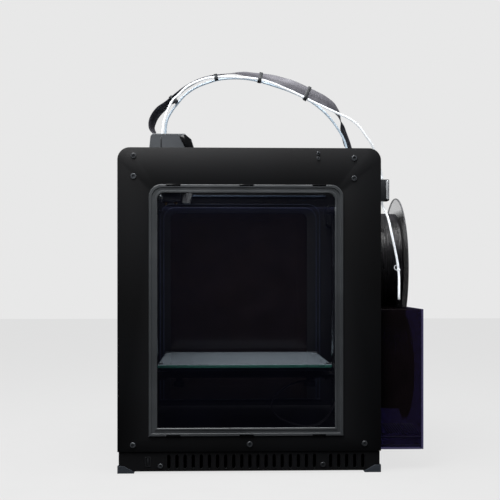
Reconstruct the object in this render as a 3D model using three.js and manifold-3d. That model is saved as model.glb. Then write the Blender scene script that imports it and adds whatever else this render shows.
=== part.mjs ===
// A boxed desktop 3-D printer: sheet steel case with smoked covers, crossed rods that carry
// the print head, a bed on two screws, and two filament spools on the right-hand side.
// Millimetres. X runs to the right, Y to the back, Z up; z = 0 is the surface it stands on.
import * as THREE from 'three';
import { mergeVertices } from 'three/addons/utils/BufferGeometryUtils.js';
import Module from 'manifold-3d';

const wasm = await Module();
wasm.setup();

// ---- driving dimensions -------------------------------------------------------------------
const GAP = 0.3; // clearance between touching pieces
const CASE_W = 430;
const CASE_D = 430;
const CASE_H = 530;
const SHEET = 3; // case sheet with its return flange
const TOP_R = 20; // rounded upper edges of the case
const SIDE_LIP = 2; // flat lip beyond the rounded edge
const BASE_H = 35; // height of the base below the front panel
const BASE_SET = 2; // the base is set back from the case by this much
const BASE_BOTTOM = 3;
const FOOT_H = 12;
const FOOT_W = 27;
const FOOT_FLAT = 10;

const MIDDLE_X = -5.5; // the front cover and the bed stand this far off the case's middle
const COVER_SIDES = 56.5; // from the case's side to the front trim's outside, on average
const COVER_LOW = 60;
const COVER_DOWN = 60.4; // from the case's top to the front trim's
const BACK_MIDDLE_X = -9;
const BACK_SIDES = 66.5;
const BACK_DOWN = 70.3;
const SIDE_COVER_D = 300;
const SIDE_COVER_LOW = 80;
const SIDE_COVER_DOWN = 100;
const SIDE_COVER_R = 12;
const TRIM_W = 13.7; // visible width of the cover trim
const TRIM_T = 2; // how far the trim stands proud
const TRIM_R = 20;
const PANE_T = 2.4;
const PANE_LAP = 5; // the trim laps over the pane by this much
const HANDLE_OUT = 4; // finger handle of the side cover
const HANDLE_L = 41;
const HANDLE_Z = 290;
const HANDLE_Y = -130;
const HANDLE_W = 14;

const SLOT_W = 5.4; // vent slots of the base
const SLOT_H = 24;
const SLOT_PITCH = 13.2;
const SLOT_COUNT = 25;
const SLOT_X = -131.6;
const SLOT_LEFT_OUT = 19; // a screw takes this slot's place
const SLOT_Z = 18.5;

const ROD_R = 4;
const BORE_PLAY = 0.35;
const BEND_PLAY = 0.12; // between a rod's end and the bend of the wall
const ROD_IN = 19; // a driven rod's axis is this far from the case's outside
const X_ROD_DOWN = 20; // its axis below the case's top
const Y_ROD_DOWN = 36;
const PULLEY_R = 6;
const PULLEY_FLANGE_R = 7.8;
const PULLEY_W = 8;
const PULLEY_IN = 31; // a pulley's middle is this far from the case's outside
const BELT_T = 0.8;
const BELT_W = 5.4;
const SLIDER_L = 30;
const SLIDER_REACH = 28; // a slider's size across the rod that it rides on
const SLIDER_H = 15;

const HEAD_IN = 79; // where the print head stands: this far from the case's left side
const HEAD_Y = -61;
const HEAD_HALF = 26;
const HEAD_TALL = 58;
const HEAD_DOWN = 2; // the carriage's top below the case's
const HEAD_COVER_W = 80.5;
const HEAD_COVER_D = 60;
const HEAD_COVER_UP = 41; // the hood's top above the case's
const NOZZLE_REACH = 22.5; // the nozzles' tips below the carriage
const NOZZLE_SPACING = 18;
const DUCT_REACH = 20;
const FAN_R = 14;

const FLOOR_Z = 55; // top of the chamber floor
const BED_TOP = 169;
const GLASS_SIDES = 65.5; // from the case's side to the glass, on average
const GLASS_D = 295;
const GLASS_T = 5;
const GLASS_Y = 12.5;
const HEATER_T = 5.7;
const HEATER_SET = 5; // the heater is this much smaller all round
const BED_FRAME_TOP = 150;
const BED_FRAME_T = 5;
const BED_FRAME_IN = 22; // the bed's frame stops this far inside the guide rods
const BED_FRAME_D = 250;
const BED_POST_IN = 35; // from the glass's side to a post's axis
const BED_POST_END = 15; // from the frame's end to a post's axis
const BED_POST_R = 5;
const EAR_LOW = 128;
const LIFT_IN = 43; // guide rods and screws, from the case's outside
const GUIDE_Y = 89;
const SCREW_Y = 30;
const SHELF_UNDER = 4.5; // shelves that hold the rods' upper ends, below the nozzles' tips
const SHELF_T = 6;
const SHELF_EDGE = 12; // shelf and ear metal round a rod's axis
const SUPPLY = { x: 10, width: 215, depth: 115, height: 30 };
const SUPPLY_IN = 39.5; // from the case's back to the power supply
const INLET_X = -150;
const INLET_W = 60;
const INLET_H = 25;
const INLET_D = 24;
const INLET_FLANGE = 2;
const SOCKET_W = 26;
const SOCKET_H = 18;
const ROCKER_W = 12;
const ROCKER_H = 17;
const MOTOR_W = 42;
const MOTOR_CHAMFER = 4;
const LIFT_MOTOR_L = 39;
const DRIVE_MOTOR_L = 31;
const DRIVE_MOTOR_UNDER = 48; // the drive motors' axes below the rods along Y

const SPOOL_Y = 70;
const SPOOL_DOWN = 194; // its axis below the case's top
const SPOOL_R = 135;
const SPOOL_WOUND_R = 106;
const SPOOL_HUB_R = 40;
const SPOOL_BORE_R = 26;
const SPOOL_OUT = 75; // the outer flange's face is this far from the case side
const SPOOL_W = 68;
const FLANGE_T = 3;
const AXLE_PLAY = 2;
const SMALL_R = 91; // spool in the dry box
const SMALL_WOUND_R = 75;
const SMALL_Y = -89;
const SMALL_Z = 163;
const SMALL_OUT = 62;
const SMALL_W = 54;
const BOX_FRONT = -191;
const BOX_BACK = 10;
const BOX_LOW = 33;
const BOX_HIGH = 266;
const BOX_CUT = 62; // corner cut off behind, under the large spool
const BOX_WALL = 3;
const DOOR_T = 3;
const GUIDE_W = 46;
const GUIDE_D = 24;
const GUIDE_H = 39;
const GUIDE_DOWN = 32; // the filament guide's top below the case's
const GUIDE_BLOCK_Y = -18;
const TUBE_R = 2;
const RIBBON_W = 26;
const RIBBON_T = 1.2;
const BED_RIBBON_W = 20;
const FITTING_R = 5;
const FITTING_L = 14;
const FITTING_OUT = 47; // the fitting's axis from the case's side
const FITTING_Y = -121;
const CABLE_Y = -27;
const CABLE_SHELF_IN = 34;

const HALF_W = CASE_W / 2;
const HALF_D = CASE_D / 2;
const INNER_W = HALF_W - SHEET;
const INNER_D = HALF_D - SHEET;
const FRONT_COVER = {
  x: MIDDLE_X, width: CASE_W - 2 * COVER_SIDES, low: COVER_LOW, high: CASE_H - COVER_DOWN,
};
const BACK_COVER = {
  x: BACK_MIDDLE_X, width: CASE_W - 2 * BACK_SIDES, low: COVER_LOW, high: CASE_H - BACK_DOWN,
};
const SIDE_COVER_HIGH = CASE_H - SIDE_COVER_DOWN;
const BORE_R = ROD_R + BORE_PLAY;
const X_ROD_Z = CASE_H - X_ROD_DOWN;
const Y_ROD_Z = CASE_H - Y_ROD_DOWN;
const HEAD_X = HEAD_IN - HALF_W;
const HEAD_HIGH = CASE_H - HEAD_DOWN;
const HEAD_LOW = HEAD_HIGH - HEAD_TALL;
const HEAD_COVER_TOP = CASE_H + HEAD_COVER_UP;
const NOZZLE_Z = HEAD_LOW - NOZZLE_REACH;
const DUCT_LOW = HEAD_LOW - DUCT_REACH;
const GLASS_W = CASE_W - 2 * GLASS_SIDES;
const LIFT_X = HALF_W - LIFT_IN;
const BED_FRAME_W = 2 * (LIFT_X - BED_FRAME_IN);
const SHELF_LOW = NOZZLE_Z - SHELF_UNDER;
const DRIVE_MOTOR_Z = Y_ROD_Z - DRIVE_MOTOR_UNDER;
const SPOOL_Z = CASE_H - SPOOL_DOWN;
const AXLE_R = SPOOL_BORE_R - AXLE_PLAY;
const GUIDE_HIGH = CASE_H - GUIDE_DOWN;
const GUIDE_LOW = GUIDE_HIGH - GUIDE_H;
const CABLE_SHELF_X = HALF_W - CABLE_SHELF_IN;
const BELT_IN_R = PULLEY_R + 0.4;
const BELT_OUT_R = BELT_IN_R + BELT_T;
const ROD_X = HALF_W - ROD_IN;
const ROD_Y = HALF_D - ROD_IN;
const PULLEY_X = HALF_W - PULLEY_IN;
const PULLEY_Y = HALF_D - PULLEY_IN;
const CABLE_SHELF_TOP = CASE_H + SHEET;

// Routes of the free tubes and ribbons, down their middles.
const RIBBON_ROUTE = [
  [-162, -27, 571.6], [-163, -27, 575], [-172, -27, 589], [-170, -27, 604],
  [-160, -27, 620], [-141, -27, 636], [-123, -27, 654], [-106, -27, 667],
  [-79, -27, 680], [-30, -27, 690], [2, -27, 689],
  [57, -27, 677], [85, -27, 667], [117, -27, 652], [135, -27, 644], [152, -27, 634],
  [165, -27, 621], [171, -27, 607], [176, -27, 589], [183, -27, 565], [189, -27, 551],
  [191.8, -27, 539], [192, -27, 533.5],
];
const RIBBON_LEANS = [
  -8, -8, -20, -26, -26, -18, -6, -2, 0, 12, 28, 52, 64, 66, 60, 50, 30, 12, -10, -18, -10, -3, 0,
];
const TUBE_A_ROUTE = [
  [-152, -46, 571.6], [-151.9, -46, 577], [-149, -46, 599], [-142, -46, 620],
  [-134, -46, 636], [-124, -46, 646],
  [-107, -46, 662], [-85, -46, 673], [-61, -46, 679], [-12, -46, 679], [30, -46, 674],
  [73, -46, 658], [95, -46, 648], [117, -46, 637], [154, -46, 620], [190, -46, 603],
  [205, -45, 590], [216, -43, 575], [226, -40, 562], [232, -36, 551], [241, -28, 530],
  [247, -21, 512], [249.5, -18.2, 504], [249.7, -18, 498.6],
];
const TUBE_B_ROUTE = [
  [-147, -36, 571.6], [-146.9, -36, 577], [-144, -36, 602], [-134, -36, 621],
  [-124, -36, 634], [-113, -36, 647],
  [-94, -36, 661], [-76, -36, 669], [-44, -36, 678], [4, -36, 678], [57, -36, 664],
  [85, -36, 654], [117, -36, 638], [140, -36, 620], [154, -36, 605], [165, -36, 590],
  [173, -36, 577], [179, -36, 564], [182.4, -36, 551], [184, -36, 540],
  [184, -36, 533.5],
];
const FEED_ROUTE = [
  [249.7, -18, 458.4], [249.9, -18.3, 453], [257, -33, 430], [261.5, -56, 393], [265.5, -68, 364],
  [267.5, -79, 342], [267.5, -90, 322], [264, -110, 298], [262, -120, 286], [262, -121, 280.5],
];
const BED_RIBBON_ROUTE = [
  [211, -96, 118], [185, -96, 117], [165, -96, 110], [150, -96, 92], [138, -96, 72],
  [122, -96, 61], [104, -96, 57.5], [72, -96, 65], [52, -96, 76], [42, -96, 92],
  [46, -96, 108], [60, -96, 122], [84, -96, 134], [104, -96, 138], [120, -96, 144],
];

// ---- shape helpers ------------------------------------------------------------------------
// Axis turns for extruded outlines: drawn in XZ and pushed to the front, or drawn in YZ.
const axis = (x, y, z) => new THREE.Vector3(x, y, z);
const DRAWN_XZ = new THREE.Matrix4().makeBasis(axis(1, 0, 0), axis(0, 0, 1), axis(0, -1, 0));
const DRAWN_YZ = new THREE.Matrix4().makeBasis(axis(0, 1, 0), axis(0, 0, 1), axis(1, 0, 0));
const ALONG_X = new THREE.Matrix4().makeRotationZ(-Math.PI / 2);
const ALONG_Y = new THREE.Matrix4();
const ALONG_Z = new THREE.Matrix4().makeRotationX(Math.PI / 2);

function solidOf(geometry) {
  const bare = geometry.clone();
  bare.deleteAttribute('normal');
  bare.deleteAttribute('uv');
  const merged = mergeVertices(bare, 1e-4);
  const vertProperties = new Float32Array(merged.attributes.position.array);
  const triVerts = new Uint32Array(merged.index.array);
  return new wasm.Manifold(new wasm.Mesh({ numProp: 3, vertProperties, triVerts }));
}

function geometryOf(solid) {
  const mesh = solid.getMesh();
  const geometry = new THREE.BufferGeometry();
  geometry.setAttribute('position', new THREE.BufferAttribute(mesh.vertProperties, 3));
  geometry.setIndex(new THREE.BufferAttribute(mesh.triVerts, 1));
  geometry.computeVertexNormals();
  return geometry;
}

function join(...geometries) {
  const solids = geometries.map(solidOf);
  return geometryOf(solids.reduce((sum, next) => sum.add(next)));
}

function cut(base, ...tools) {
  return geometryOf(tools.map(solidOf).reduce((left, tool) => left.subtract(tool), solidOf(base)));
}

// The same piece mirrored in X or Y (a sign of -1), its faces still pointing outwards.
function mirrored(geometry, signX, signY = 1) {
  const flipped = geometry.index ? geometry.toNonIndexed() : geometry.clone();
  flipped.scale(signX, signY, 1);
  if (signX * signY > 0) return flipped;
  const { position } = flipped.attributes;
  const second = new THREE.Vector3();
  const third = new THREE.Vector3();
  for (let i = 0; i < position.count; i += 3) {
    second.fromBufferAttribute(position, i + 1);
    third.fromBufferAttribute(position, i + 2);
    position.setXYZ(i + 1, third.x, third.y, third.z);
    position.setXYZ(i + 2, second.x, second.y, second.z);
  }
  flipped.computeVertexNormals();
  return flipped;
}

// A box between two corners.
function block([x0, y0, z0], [x1, y1, z1]) {
  const box = new THREE.BoxGeometry(x1 - x0, y1 - y0, z1 - z0);
  return box.translate((x0 + x1) / 2, (y0 + y1) / 2, (z0 + z1) / 2);
}

// A cylinder of length l about the middle of its axis.
function cylinder(r, l, turn = ALONG_Z, sides = 20) {
  return new THREE.CylinderGeometry(r, r, l, sides).applyMatrix4(turn);
}

// A turned piece from [radius, along] pairs that start and end on the axis or close a ring.
function turned(profile, turn, sides = 24) {
  const points = profile.map(([r, along]) => new THREE.Vector2(r, along));
  return new THREE.LatheGeometry(points, sides).applyMatrix4(turn);
}

// An upright outline with rounded upper corners and square lower ones.
function archOutline(low, high, left, right, r, Kind = THREE.Shape) {
  const outline = new Kind();
  outline.moveTo(left, low);
  outline.lineTo(right, low);
  outline.lineTo(right, high - r);
  outline.absarc(right - r, high - r, r, 0, Math.PI / 2, false);
  outline.lineTo(left + r, high);
  outline.absarc(left + r, high - r, r, Math.PI / 2, Math.PI, false);
  outline.lineTo(left, low);
  return outline;
}

function polygon(points, Kind = THREE.Shape) {
  const outline = new Kind();
  outline.setFromPoints(points.map(([a, b]) => new THREE.Vector2(a, b)));
  return outline;
}

function pushed(shape, depth, turn = new THREE.Matrix4(), curveSegments = 3) {
  const settings = { depth, bevelEnabled: false, curveSegments, steps: 1 };
  return new THREE.ExtrudeGeometry(shape, settings).applyMatrix4(turn);
}

// A flat loop of belt round two equal pulleys that stand `span` apart.
function beltLoop(span, turn) {
  const loop = (r, Kind) => {
    const outline = new Kind();
    outline.absarc(span / 2, 0, r, -Math.PI / 2, Math.PI / 2, false);
    outline.absarc(-span / 2, 0, r, Math.PI / 2, 1.5 * Math.PI, false);
    outline.closePath();
    return outline;
  };
  const shape = loop(BELT_OUT_R, THREE.Shape);
  shape.holes.push(loop(BELT_IN_R, THREE.Path));
  return pushed(shape, BELT_W, turn, 4);
}

function routeCurve(route) {
  return new THREE.CatmullRomCurve3(route.map(([x, y, z]) => axis(x, y, z)), false, 'centripetal');
}

function tubeAlong(route, r, steps) {
  const section = new THREE.Shape();
  section.absarc(0, 0, r, 0, 2 * Math.PI, false);
  const settings = { extrudePath: routeCurve(route), steps, curveSegments: 4, bevelEnabled: false };
  return new THREE.ExtrudeGeometry(section, settings);
}

// A flat ribbon along a route in one XZ plane. Its width lies along Y where `leans` is 0, and
// elsewhere it leans by that many degrees, one value for each of the route's points.
function ribbonAlong(route, leans, width, thickness, steps) {
  const curve = routeCurve(route);
  const corners = [];
  for (let i = 0; i <= steps; i += 1) {
    const at = curve.getPointAt(i / steps);
    const along = curve.getTangentAt(i / steps);
    const place = curve.getUtoTmapping(i / steps) * (route.length - 1);
    const before = Math.min(Math.floor(place), route.length - 2);
    const lean = THREE.MathUtils.lerp(leans[before], leans[before + 1], place - before);
    const across = axis(0, 1, 0).applyAxisAngle(along, THREE.MathUtils.degToRad(lean));
    const up = across.clone().cross(along).multiplyScalar(thickness / 2);
    across.multiplyScalar(width / 2);
    corners.push(at.clone().sub(across).sub(up), at.clone().add(across).sub(up));
    corners.push(at.clone().add(across).add(up), at.clone().sub(across).add(up));
  }
  const faces = [[0, 1, 2], [0, 2, 3]];
  for (let i = 0; i < 4 * steps; i += 4) {
    for (let side = 0; side < 4; side += 1) {
      const next = (side + 1) % 4;
      faces.push([i + side, i + 4 + side, i + next], [i + next, i + 4 + side, i + 4 + next]);
    }
  }
  const end = 4 * steps;
  faces.push([end, end + 2, end + 1], [end, end + 3, end + 2]);
  const strip = new THREE.BufferGeometry().setFromPoints(corners);
  strip.setIndex(faces.flat());
  strip.computeVertexNormals();
  return strip;
}

// ---- the object ---------------------------------------------------------------------------
const object = new THREE.Group();
// Origin: middle of the footprint box, from the side cover's handle to the spools.
object.position.x = -(HALF_W + SPOOL_OUT - (HALF_W + HANDLE_OUT)) / 2;

const MATERIALS = {
  coated: { color: 0x141618, roughness: 0.55, metalness: 0.3 },
  trim: { color: 0x45484b, roughness: 0.5, metalness: 0.1 },
  smoked: { color: 0x10131a, roughness: 0.1, metalness: 0, transparent: true, opacity: 0.6 },
  foot: { color: 0x3a3f47, roughness: 0.7, metalness: 0 },
  steel: { color: 0xb9bdc2, roughness: 0.25, metalness: 1 },
  belt: { color: 0x111111, roughness: 0.8, metalness: 0 },
  motor: { color: 0x1c1d1f, roughness: 0.5, metalness: 0.6 },
  moulded: { color: 0x26282b, roughness: 0.6, metalness: 0 },
  headGrey: { color: 0x4f5256, roughness: 0.5, metalness: 0 },
  duct: { color: 0x8a8d91, roughness: 0.5, metalness: 0 },
  brass: { color: 0xb08d4a, roughness: 0.35, metalness: 1 },
  aluminium: { color: 0x8f969d, roughness: 0.4, metalness: 1 },
  glass: { color: 0x5c6b7a, roughness: 0.05, metalness: 0, transparent: true, opacity: 0.6 },
  flange: { color: 0xb9babf, roughness: 0.2, metalness: 0, transparent: true, opacity: 0.6 },
  filament: { color: 0x151518, roughness: 0.25, metalness: 0 },
  ptfe: { color: 0xf4f8fc, roughness: 0.4, metalness: 0 },
  ribbon: { color: 0x1d1e20, roughness: 0.4, metalness: 0 },
  galvanised: { color: 0xa9adb0, roughness: 0.4, metalness: 0.9 },
};

function add(name, geometry, slot, [x, y, z] = [0, 0, 0], parent = object) {
  const mesh = new THREE.Mesh(geometry, new THREE.MeshStandardMaterial(MATERIALS[slot]));
  mesh.name = name;
  mesh.position.set(x, y, z);
  parent.add(mesh);
  return mesh;
}

// ---- case ---------------------------------------------------------------------------------
const PANE_SET = TRIM_W - PANE_LAP; // from the trim's outer edge to the pane's edge
const OPENING_SET = PANE_SET - 1; // from the trim's outer edge to the case's opening

// The outline of a cover's trim, shrunk all round by `inset`.
function coverOutline({ x, width, low, high }, inset, Kind = THREE.Shape) {
  const half = width / 2 - inset;
  const r = Math.max(TRIM_R - inset, 4);
  return archOutline(low + inset, high - inset, x - half, x + half, r, Kind);
}

function endPanel(cover) {
  const shape = archOutline(BASE_H, CASE_H, -HALF_W, HALF_W, TOP_R);
  shape.holes.push(coverOutline(cover, OPENING_SET, THREE.Path));
  return pushed(shape, SHEET, DRAWN_XZ, 6);
}

function coverTrim(cover) {
  const shape = coverOutline(cover, 0);
  shape.holes.push(coverOutline(cover, TRIM_W, THREE.Path));
  return pushed(shape, TRIM_T, DRAWN_XZ);
}

const coverPane = (cover, thickness) => pushed(coverOutline(cover, PANE_SET), thickness, DRAWN_XZ);

// The right-hand wall, one bent sheet: rounded upper edge, lip, and the lift rods' shelf.
function sideWall() {
  const outline = new THREE.Shape();
  const low = BASE_H + GAP;
  const bend = CASE_H - TOP_R;
  const lip = HALF_W - TOP_R - SIDE_LIP;
  outline.moveTo(HALF_W, low);
  outline.lineTo(HALF_W, bend);
  outline.absarc(HALF_W - TOP_R, bend, TOP_R, 0, Math.PI / 2, false);
  outline.lineTo(lip, CASE_H);
  outline.lineTo(lip, CASE_H - SHEET);
  outline.absarc(HALF_W - TOP_R, bend, TOP_R - SHEET, Math.PI / 2, 0, true);
  outline.lineTo(INNER_W, low);
  const depth = 2 * (INNER_D - GAP);
  const wall = pushed(outline, depth, DRAWN_XZ, 8).translate(0, depth / 2, 0);
  const shelf = block(
    [LIFT_X - SHELF_EDGE, SCREW_Y - SHELF_EDGE, SHELF_LOW],
    [INNER_W + 1, GUIDE_Y + SHELF_EDGE, SHELF_LOW + SHELF_T],
  );
  const bores = [GUIDE_Y, SCREW_Y].map(
    (y) => cylinder(BORE_R, 4 * SHELF_T).translate(LIFT_X, y, SHELF_LOW),
  );
  return join(wall, cut(shelf, ...bores));
}

// Where the head's cables come down onto the right-hand wall.
function cableShelf() {
  return block(
    [CABLE_SHELF_X, CABLE_Y - RIBBON_W, CASE_H - SHEET],
    [HALF_W - TOP_R / 2, CABLE_Y + RIBBON_W, CABLE_SHELF_TOP],
  );
}

function sideCoverPlate(grown, thickness) {
  const shape = archOutline(
    SIDE_COVER_LOW - grown, SIDE_COVER_HIGH + grown,
    -SIDE_COVER_D / 2 - grown, SIDE_COVER_D / 2 + grown, SIDE_COVER_R,
  );
  return pushed(shape, thickness, DRAWN_YZ);
}

// The pull-off cover of the left wall, with a finger handle that stands out from it.
function sideCover() {
  const plate = sideCoverPlate(0, SHEET);
  const handle = block(
    [-HANDLE_OUT, HANDLE_Y - HANDLE_W / 2, HANDLE_Z - HANDLE_L / 2],
    [1, HANDLE_Y + HANDLE_W / 2, HANDLE_Z + HANDLE_L / 2],
  );
  return join(plate, handle);
}

function addCase() {
  add('front_panel', endPanel(FRONT_COVER), 'coated', [0, -INNER_D, 0]);
  add('back_panel', endPanel(BACK_COVER), 'coated', [0, HALF_D, 0]);
  add('right_side_panel', join(sideWall(), cableShelf()), 'coated');
  const opening = sideCoverPlate(GAP, 3 * SHEET).translate(-HALF_W - SHEET, 0, 0);
  add('left_side_panel', cut(mirrored(sideWall(), -1), opening), 'coated');
  add('left_cover', sideCover(), 'smoked', [-HALF_W, 0, 0]);
  const proud = HALF_D + GAP;
  add('front_cover_trim', coverTrim(FRONT_COVER), 'trim', [0, -proud, 0]);
  add('front_cover_pane', coverPane(FRONT_COVER, PANE_T), 'smoked', [0, -HALF_D + PANE_T, 0]);
  const backTrim = coverTrim(BACK_COVER).translate(0, TRIM_T, 0);
  const backPane = coverPane(BACK_COVER, PANE_T + 2 * GAP).translate(0, 2 * GAP, 0);
  const backParts = join(backTrim, backPane.translate(0, -GAP / 2, 0));
  add('back_cover', backParts, 'smoked', [0, proud, 0]);
}

// ---- base ---------------------------------------------------------------------------------
const BASE_HALF_W = HALF_W - BASE_SET;
const BASE_HALF_D = HALF_D - BASE_SET;
const BASE_TOP = BASE_H - GAP;
const INLET_Z = (BASE_BOTTOM + BASE_H) / 2;

// A shallow tray: floor, two side walls and a back wall, open at the front.
function baseTray() {
  const front = -BASE_HALF_D + SHEET + GAP;
  const outer = block([-BASE_HALF_W, front, BASE_BOTTOM], [BASE_HALF_W, BASE_HALF_D, BASE_TOP]);
  const inner = block(
    [-BASE_HALF_W + SHEET, front - 1, BASE_BOTTOM + SHEET],
    [BASE_HALF_W - SHEET, BASE_HALF_D - SHEET, BASE_TOP + 1],
  );
  const half = INLET_W / 2 - INLET_FLANGE + GAP;
  const inlet = block(
    [INLET_X - half, BASE_HALF_D - 2 * SHEET, INLET_Z - INLET_H / 2 + INLET_FLANGE - GAP],
    [INLET_X + half, BASE_HALF_D + 1, INLET_Z + INLET_H / 2 - INLET_FLANGE + GAP],
  );
  return cut(outer, inner, inlet);
}

// The strip below the front panel, with a row of upright slots for air.
function baseGrille() {
  const half = BASE_HALF_W;
  const shape = polygon([
    [-half, BASE_BOTTOM], [half, BASE_BOTTOM], [half, BASE_TOP], [-half, BASE_TOP],
  ]);
  const w = SLOT_W / 2;
  const h = SLOT_H / 2;
  for (let i = 0; i < SLOT_COUNT; i += 1) {
    const x = SLOT_X + i * SLOT_PITCH;
    const slot = polygon([
      [x - w, SLOT_Z - h + w], [x, SLOT_Z - h], [x + w, SLOT_Z - h + w],
      [x + w, SLOT_Z + h - w], [x, SLOT_Z + h], [x - w, SLOT_Z + h - w],
    ], THREE.Path);
    if (i !== SLOT_LEFT_OUT) shape.holes.push(slot);
  }
  return pushed(shape, SHEET, DRAWN_XZ);
}

// A corner foot, its corner at the origin: a pad and a wedge-shaped cheek up each side.
function foot() {
  const cheek = BASE_SET - GAP;
  const padTop = BASE_BOTTOM - GAP;
  const wedge = polygon([
    [0, 0], [FOOT_W, 0], [FOOT_W, padTop], [FOOT_FLAT, FOOT_H], [0, FOOT_H],
  ]);
  const front = pushed(wedge, cheek, DRAWN_XZ).translate(0, cheek, 0);
  const side = pushed(wedge, cheek, DRAWN_YZ);
  return join(front, side, block([0, 0, 0], [FOOT_W, FOOT_W, padTop]));
}

// The mains inlet: a flanged body with a socket and a well for the rocker switch.
function powerInlet() {
  const half = INLET_W / 2;
  const tall = INLET_H / 2;
  const flange = block([-half, 0, -tall], [half, INLET_FLANGE, tall]);
  const body = block(
    [-half + INLET_FLANGE, -INLET_D, -tall + INLET_FLANGE],
    [half - INLET_FLANGE, 1, tall - INLET_FLANGE],
  );
  const socket = block(
    [SOCKET_X - SOCKET_W / 2, -INLET_D + 3, -SOCKET_H / 2],
    [SOCKET_X + SOCKET_W / 2, 2 * INLET_FLANGE, SOCKET_H / 2],
  );
  const well = block(
    [ROCKER_X - ROCKER_W / 2 - GAP, -ROCKER_DEEP - 2, -ROCKER_H / 2 - 1],
    [ROCKER_X + ROCKER_W / 2 + GAP, 2 * INLET_FLANGE, ROCKER_H / 2 + 1],
  );
  return cut(join(flange, body), socket, well);
}

const SOCKET_X = 10;
const ROCKER_X = -18;
const ROCKER_DEEP = 4;

function addBase() {
  add('base_tray', baseTray(), 'galvanised');
  add('base_front_grille', baseGrille(), 'coated', [0, -BASE_HALF_D + SHEET, 0]);
  for (const [side, x] of [['left', -1], ['right', 1]]) {
    for (const [end, y] of [['front', -1], ['back', 1]]) {
      const corner = mirrored(foot(), -x, -y);
      add(`foot_${end}_${side}`, corner, 'foot', [x * HALF_W, y * HALF_D, 0]);
    }
  }
  const { x: supplyX, width, depth, height } = SUPPLY;
  const supplyY = HALF_D - SUPPLY_IN - depth / 2;
  const supplyZ = BASE_BOTTOM + SHEET + GAP + height / 2;
  const supply = new THREE.BoxGeometry(width, depth, height);
  add('power_supply', supply, 'galvanised', [supplyX, supplyY, supplyZ]);
  const inletY = BASE_HALF_D + GAP;
  add('power_inlet', powerInlet(), 'moulded', [INLET_X, inletY, INLET_Z]);
  const rocker = block(
    [-ROCKER_W / 2, -ROCKER_DEEP, -ROCKER_H / 2], [ROCKER_W / 2, INLET_FLANGE, ROCKER_H / 2],
  );
  add('power_switch', rocker, 'moulded', [INLET_X + ROCKER_X, inletY, INLET_Z]);
}

// ---- crossed rods and belts ---------------------------------------------------------------
// A driven rod with a belt pulley near each end, `reach` long to either side.
function drivenRod(reach, pulleyAt, turn) {
  const half = PULLEY_W / 2;
  const pulley = (at) => [
    [ROD_R, at - half], [PULLEY_FLANGE_R, at - half], [PULLEY_FLANGE_R, at - half + 1],
    [PULLEY_R, at - half + 1], [PULLEY_R, at + half - 1], [PULLEY_FLANGE_R, at + half - 1],
    [PULLEY_FLANGE_R, at + half], [ROD_R, at + half],
  ];
  const profile = [
    [0, -reach], [ROD_R, -reach], ...pulley(-pulleyAt), ...pulley(pulleyAt),
    [ROD_R, reach], [0, reach],
  ];
  return turned(profile, turn, 16);
}

const SLIDER_IN = SLIDER_REACH - 10; // from the rod's axis to the slider's inner face
const SOCKET_END = ROD_R + GAP + 1; // a cross rod's socket stops this far from the driven rod

// A slider on a rod along Y through the origin, its socket opening towards -X, `low` to `high`.
function slider(low, high) {
  const outer = SLIDER_REACH - SLIDER_IN;
  const body = block([-SLIDER_IN, -SLIDER_L / 2, low], [outer, SLIDER_L / 2, high]);
  const bore = cylinder(BORE_R, 2 * SLIDER_L, ALONG_Y);
  const depth = SLIDER_IN - SOCKET_END;
  const socket = cylinder(BORE_R, depth + 1, ALONG_X).translate(-SLIDER_IN + (depth - 1) / 2, 0, 0);
  return cut(body, bore, socket);
}

function addRodsAndBelts() {
  // The rods along X end short of the walls' bent upper edge.
  const bend = Math.sqrt((TOP_R - SHEET) ** 2 - ROD_R ** 2);
  const reachX = Math.min(INNER_W - 2 * GAP, HALF_W - TOP_R + bend - BEND_PLAY);
  const reachY = INNER_D - 2 * GAP;
  const shift = BELT_W / 2;
  for (const [name, side] of [['front', -1], ['rear', 1]]) {
    const rod = drivenRod(reachX, PULLEY_X, ALONG_X);
    add(`x_rod_${name}`, rod, 'steel', [0, side * ROD_Y, X_ROD_Z]);
    const belt = beltLoop(2 * ROD_X, DRAWN_XZ).translate(0, shift, 0);
    add(`x_belt_${name}`, belt, 'belt', [0, side * PULLEY_Y, Y_ROD_Z]);
  }
  for (const [name, side] of [['left', -1], ['right', 1]]) {
    const rod = drivenRod(reachY, PULLEY_Y, ALONG_Y);
    add(`y_rod_${name}`, rod, 'steel', [side * ROD_X, 0, Y_ROD_Z]);
    const belt = beltLoop(2 * ROD_Y, DRAWN_YZ).translate(-shift, 0, 0);
    add(`y_belt_${name}`, belt, 'belt', [side * PULLEY_X, 0, X_ROD_Z]);
  }
}

// The sliders stay clear of the belts' near runs: below them on Y, above them on X.
function addCrossCarriers() {
  const under = X_ROD_Z - BELT_OUT_R - GAP - Y_ROD_Z;
  const over = Y_ROD_Z + BELT_OUT_R + GAP - X_ROD_Z;
  for (const [name, side] of [['left', -1], ['right', 1]]) {
    const ySlider = mirrored(slider(under - SLIDER_H, under), side);
    add(`y_slider_${name}`, ySlider, 'moulded', [side * ROD_X, HEAD_Y, Y_ROD_Z]);
  }
  for (const [name, side] of [['front', -1], ['rear', 1]]) {
    const xSlider = slider(over, over + SLIDER_H).rotateZ((side * Math.PI) / 2);
    add(`x_slider_${name}`, xSlider, 'moulded', [HEAD_X, side * ROD_Y, X_ROD_Z]);
  }
  const crossX = 2 * (ROD_X - SOCKET_END - GAP);
  const crossY = 2 * (ROD_Y - SOCKET_END - GAP);
  add('cross_rod_x', cylinder(ROD_R, crossX, ALONG_X, 16), 'steel', [0, HEAD_Y, Y_ROD_Z]);
  add('cross_rod_y', cylinder(ROD_R, crossY, ALONG_Y, 16), 'steel', [HEAD_X, 0, X_ROD_Z]);
}

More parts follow.
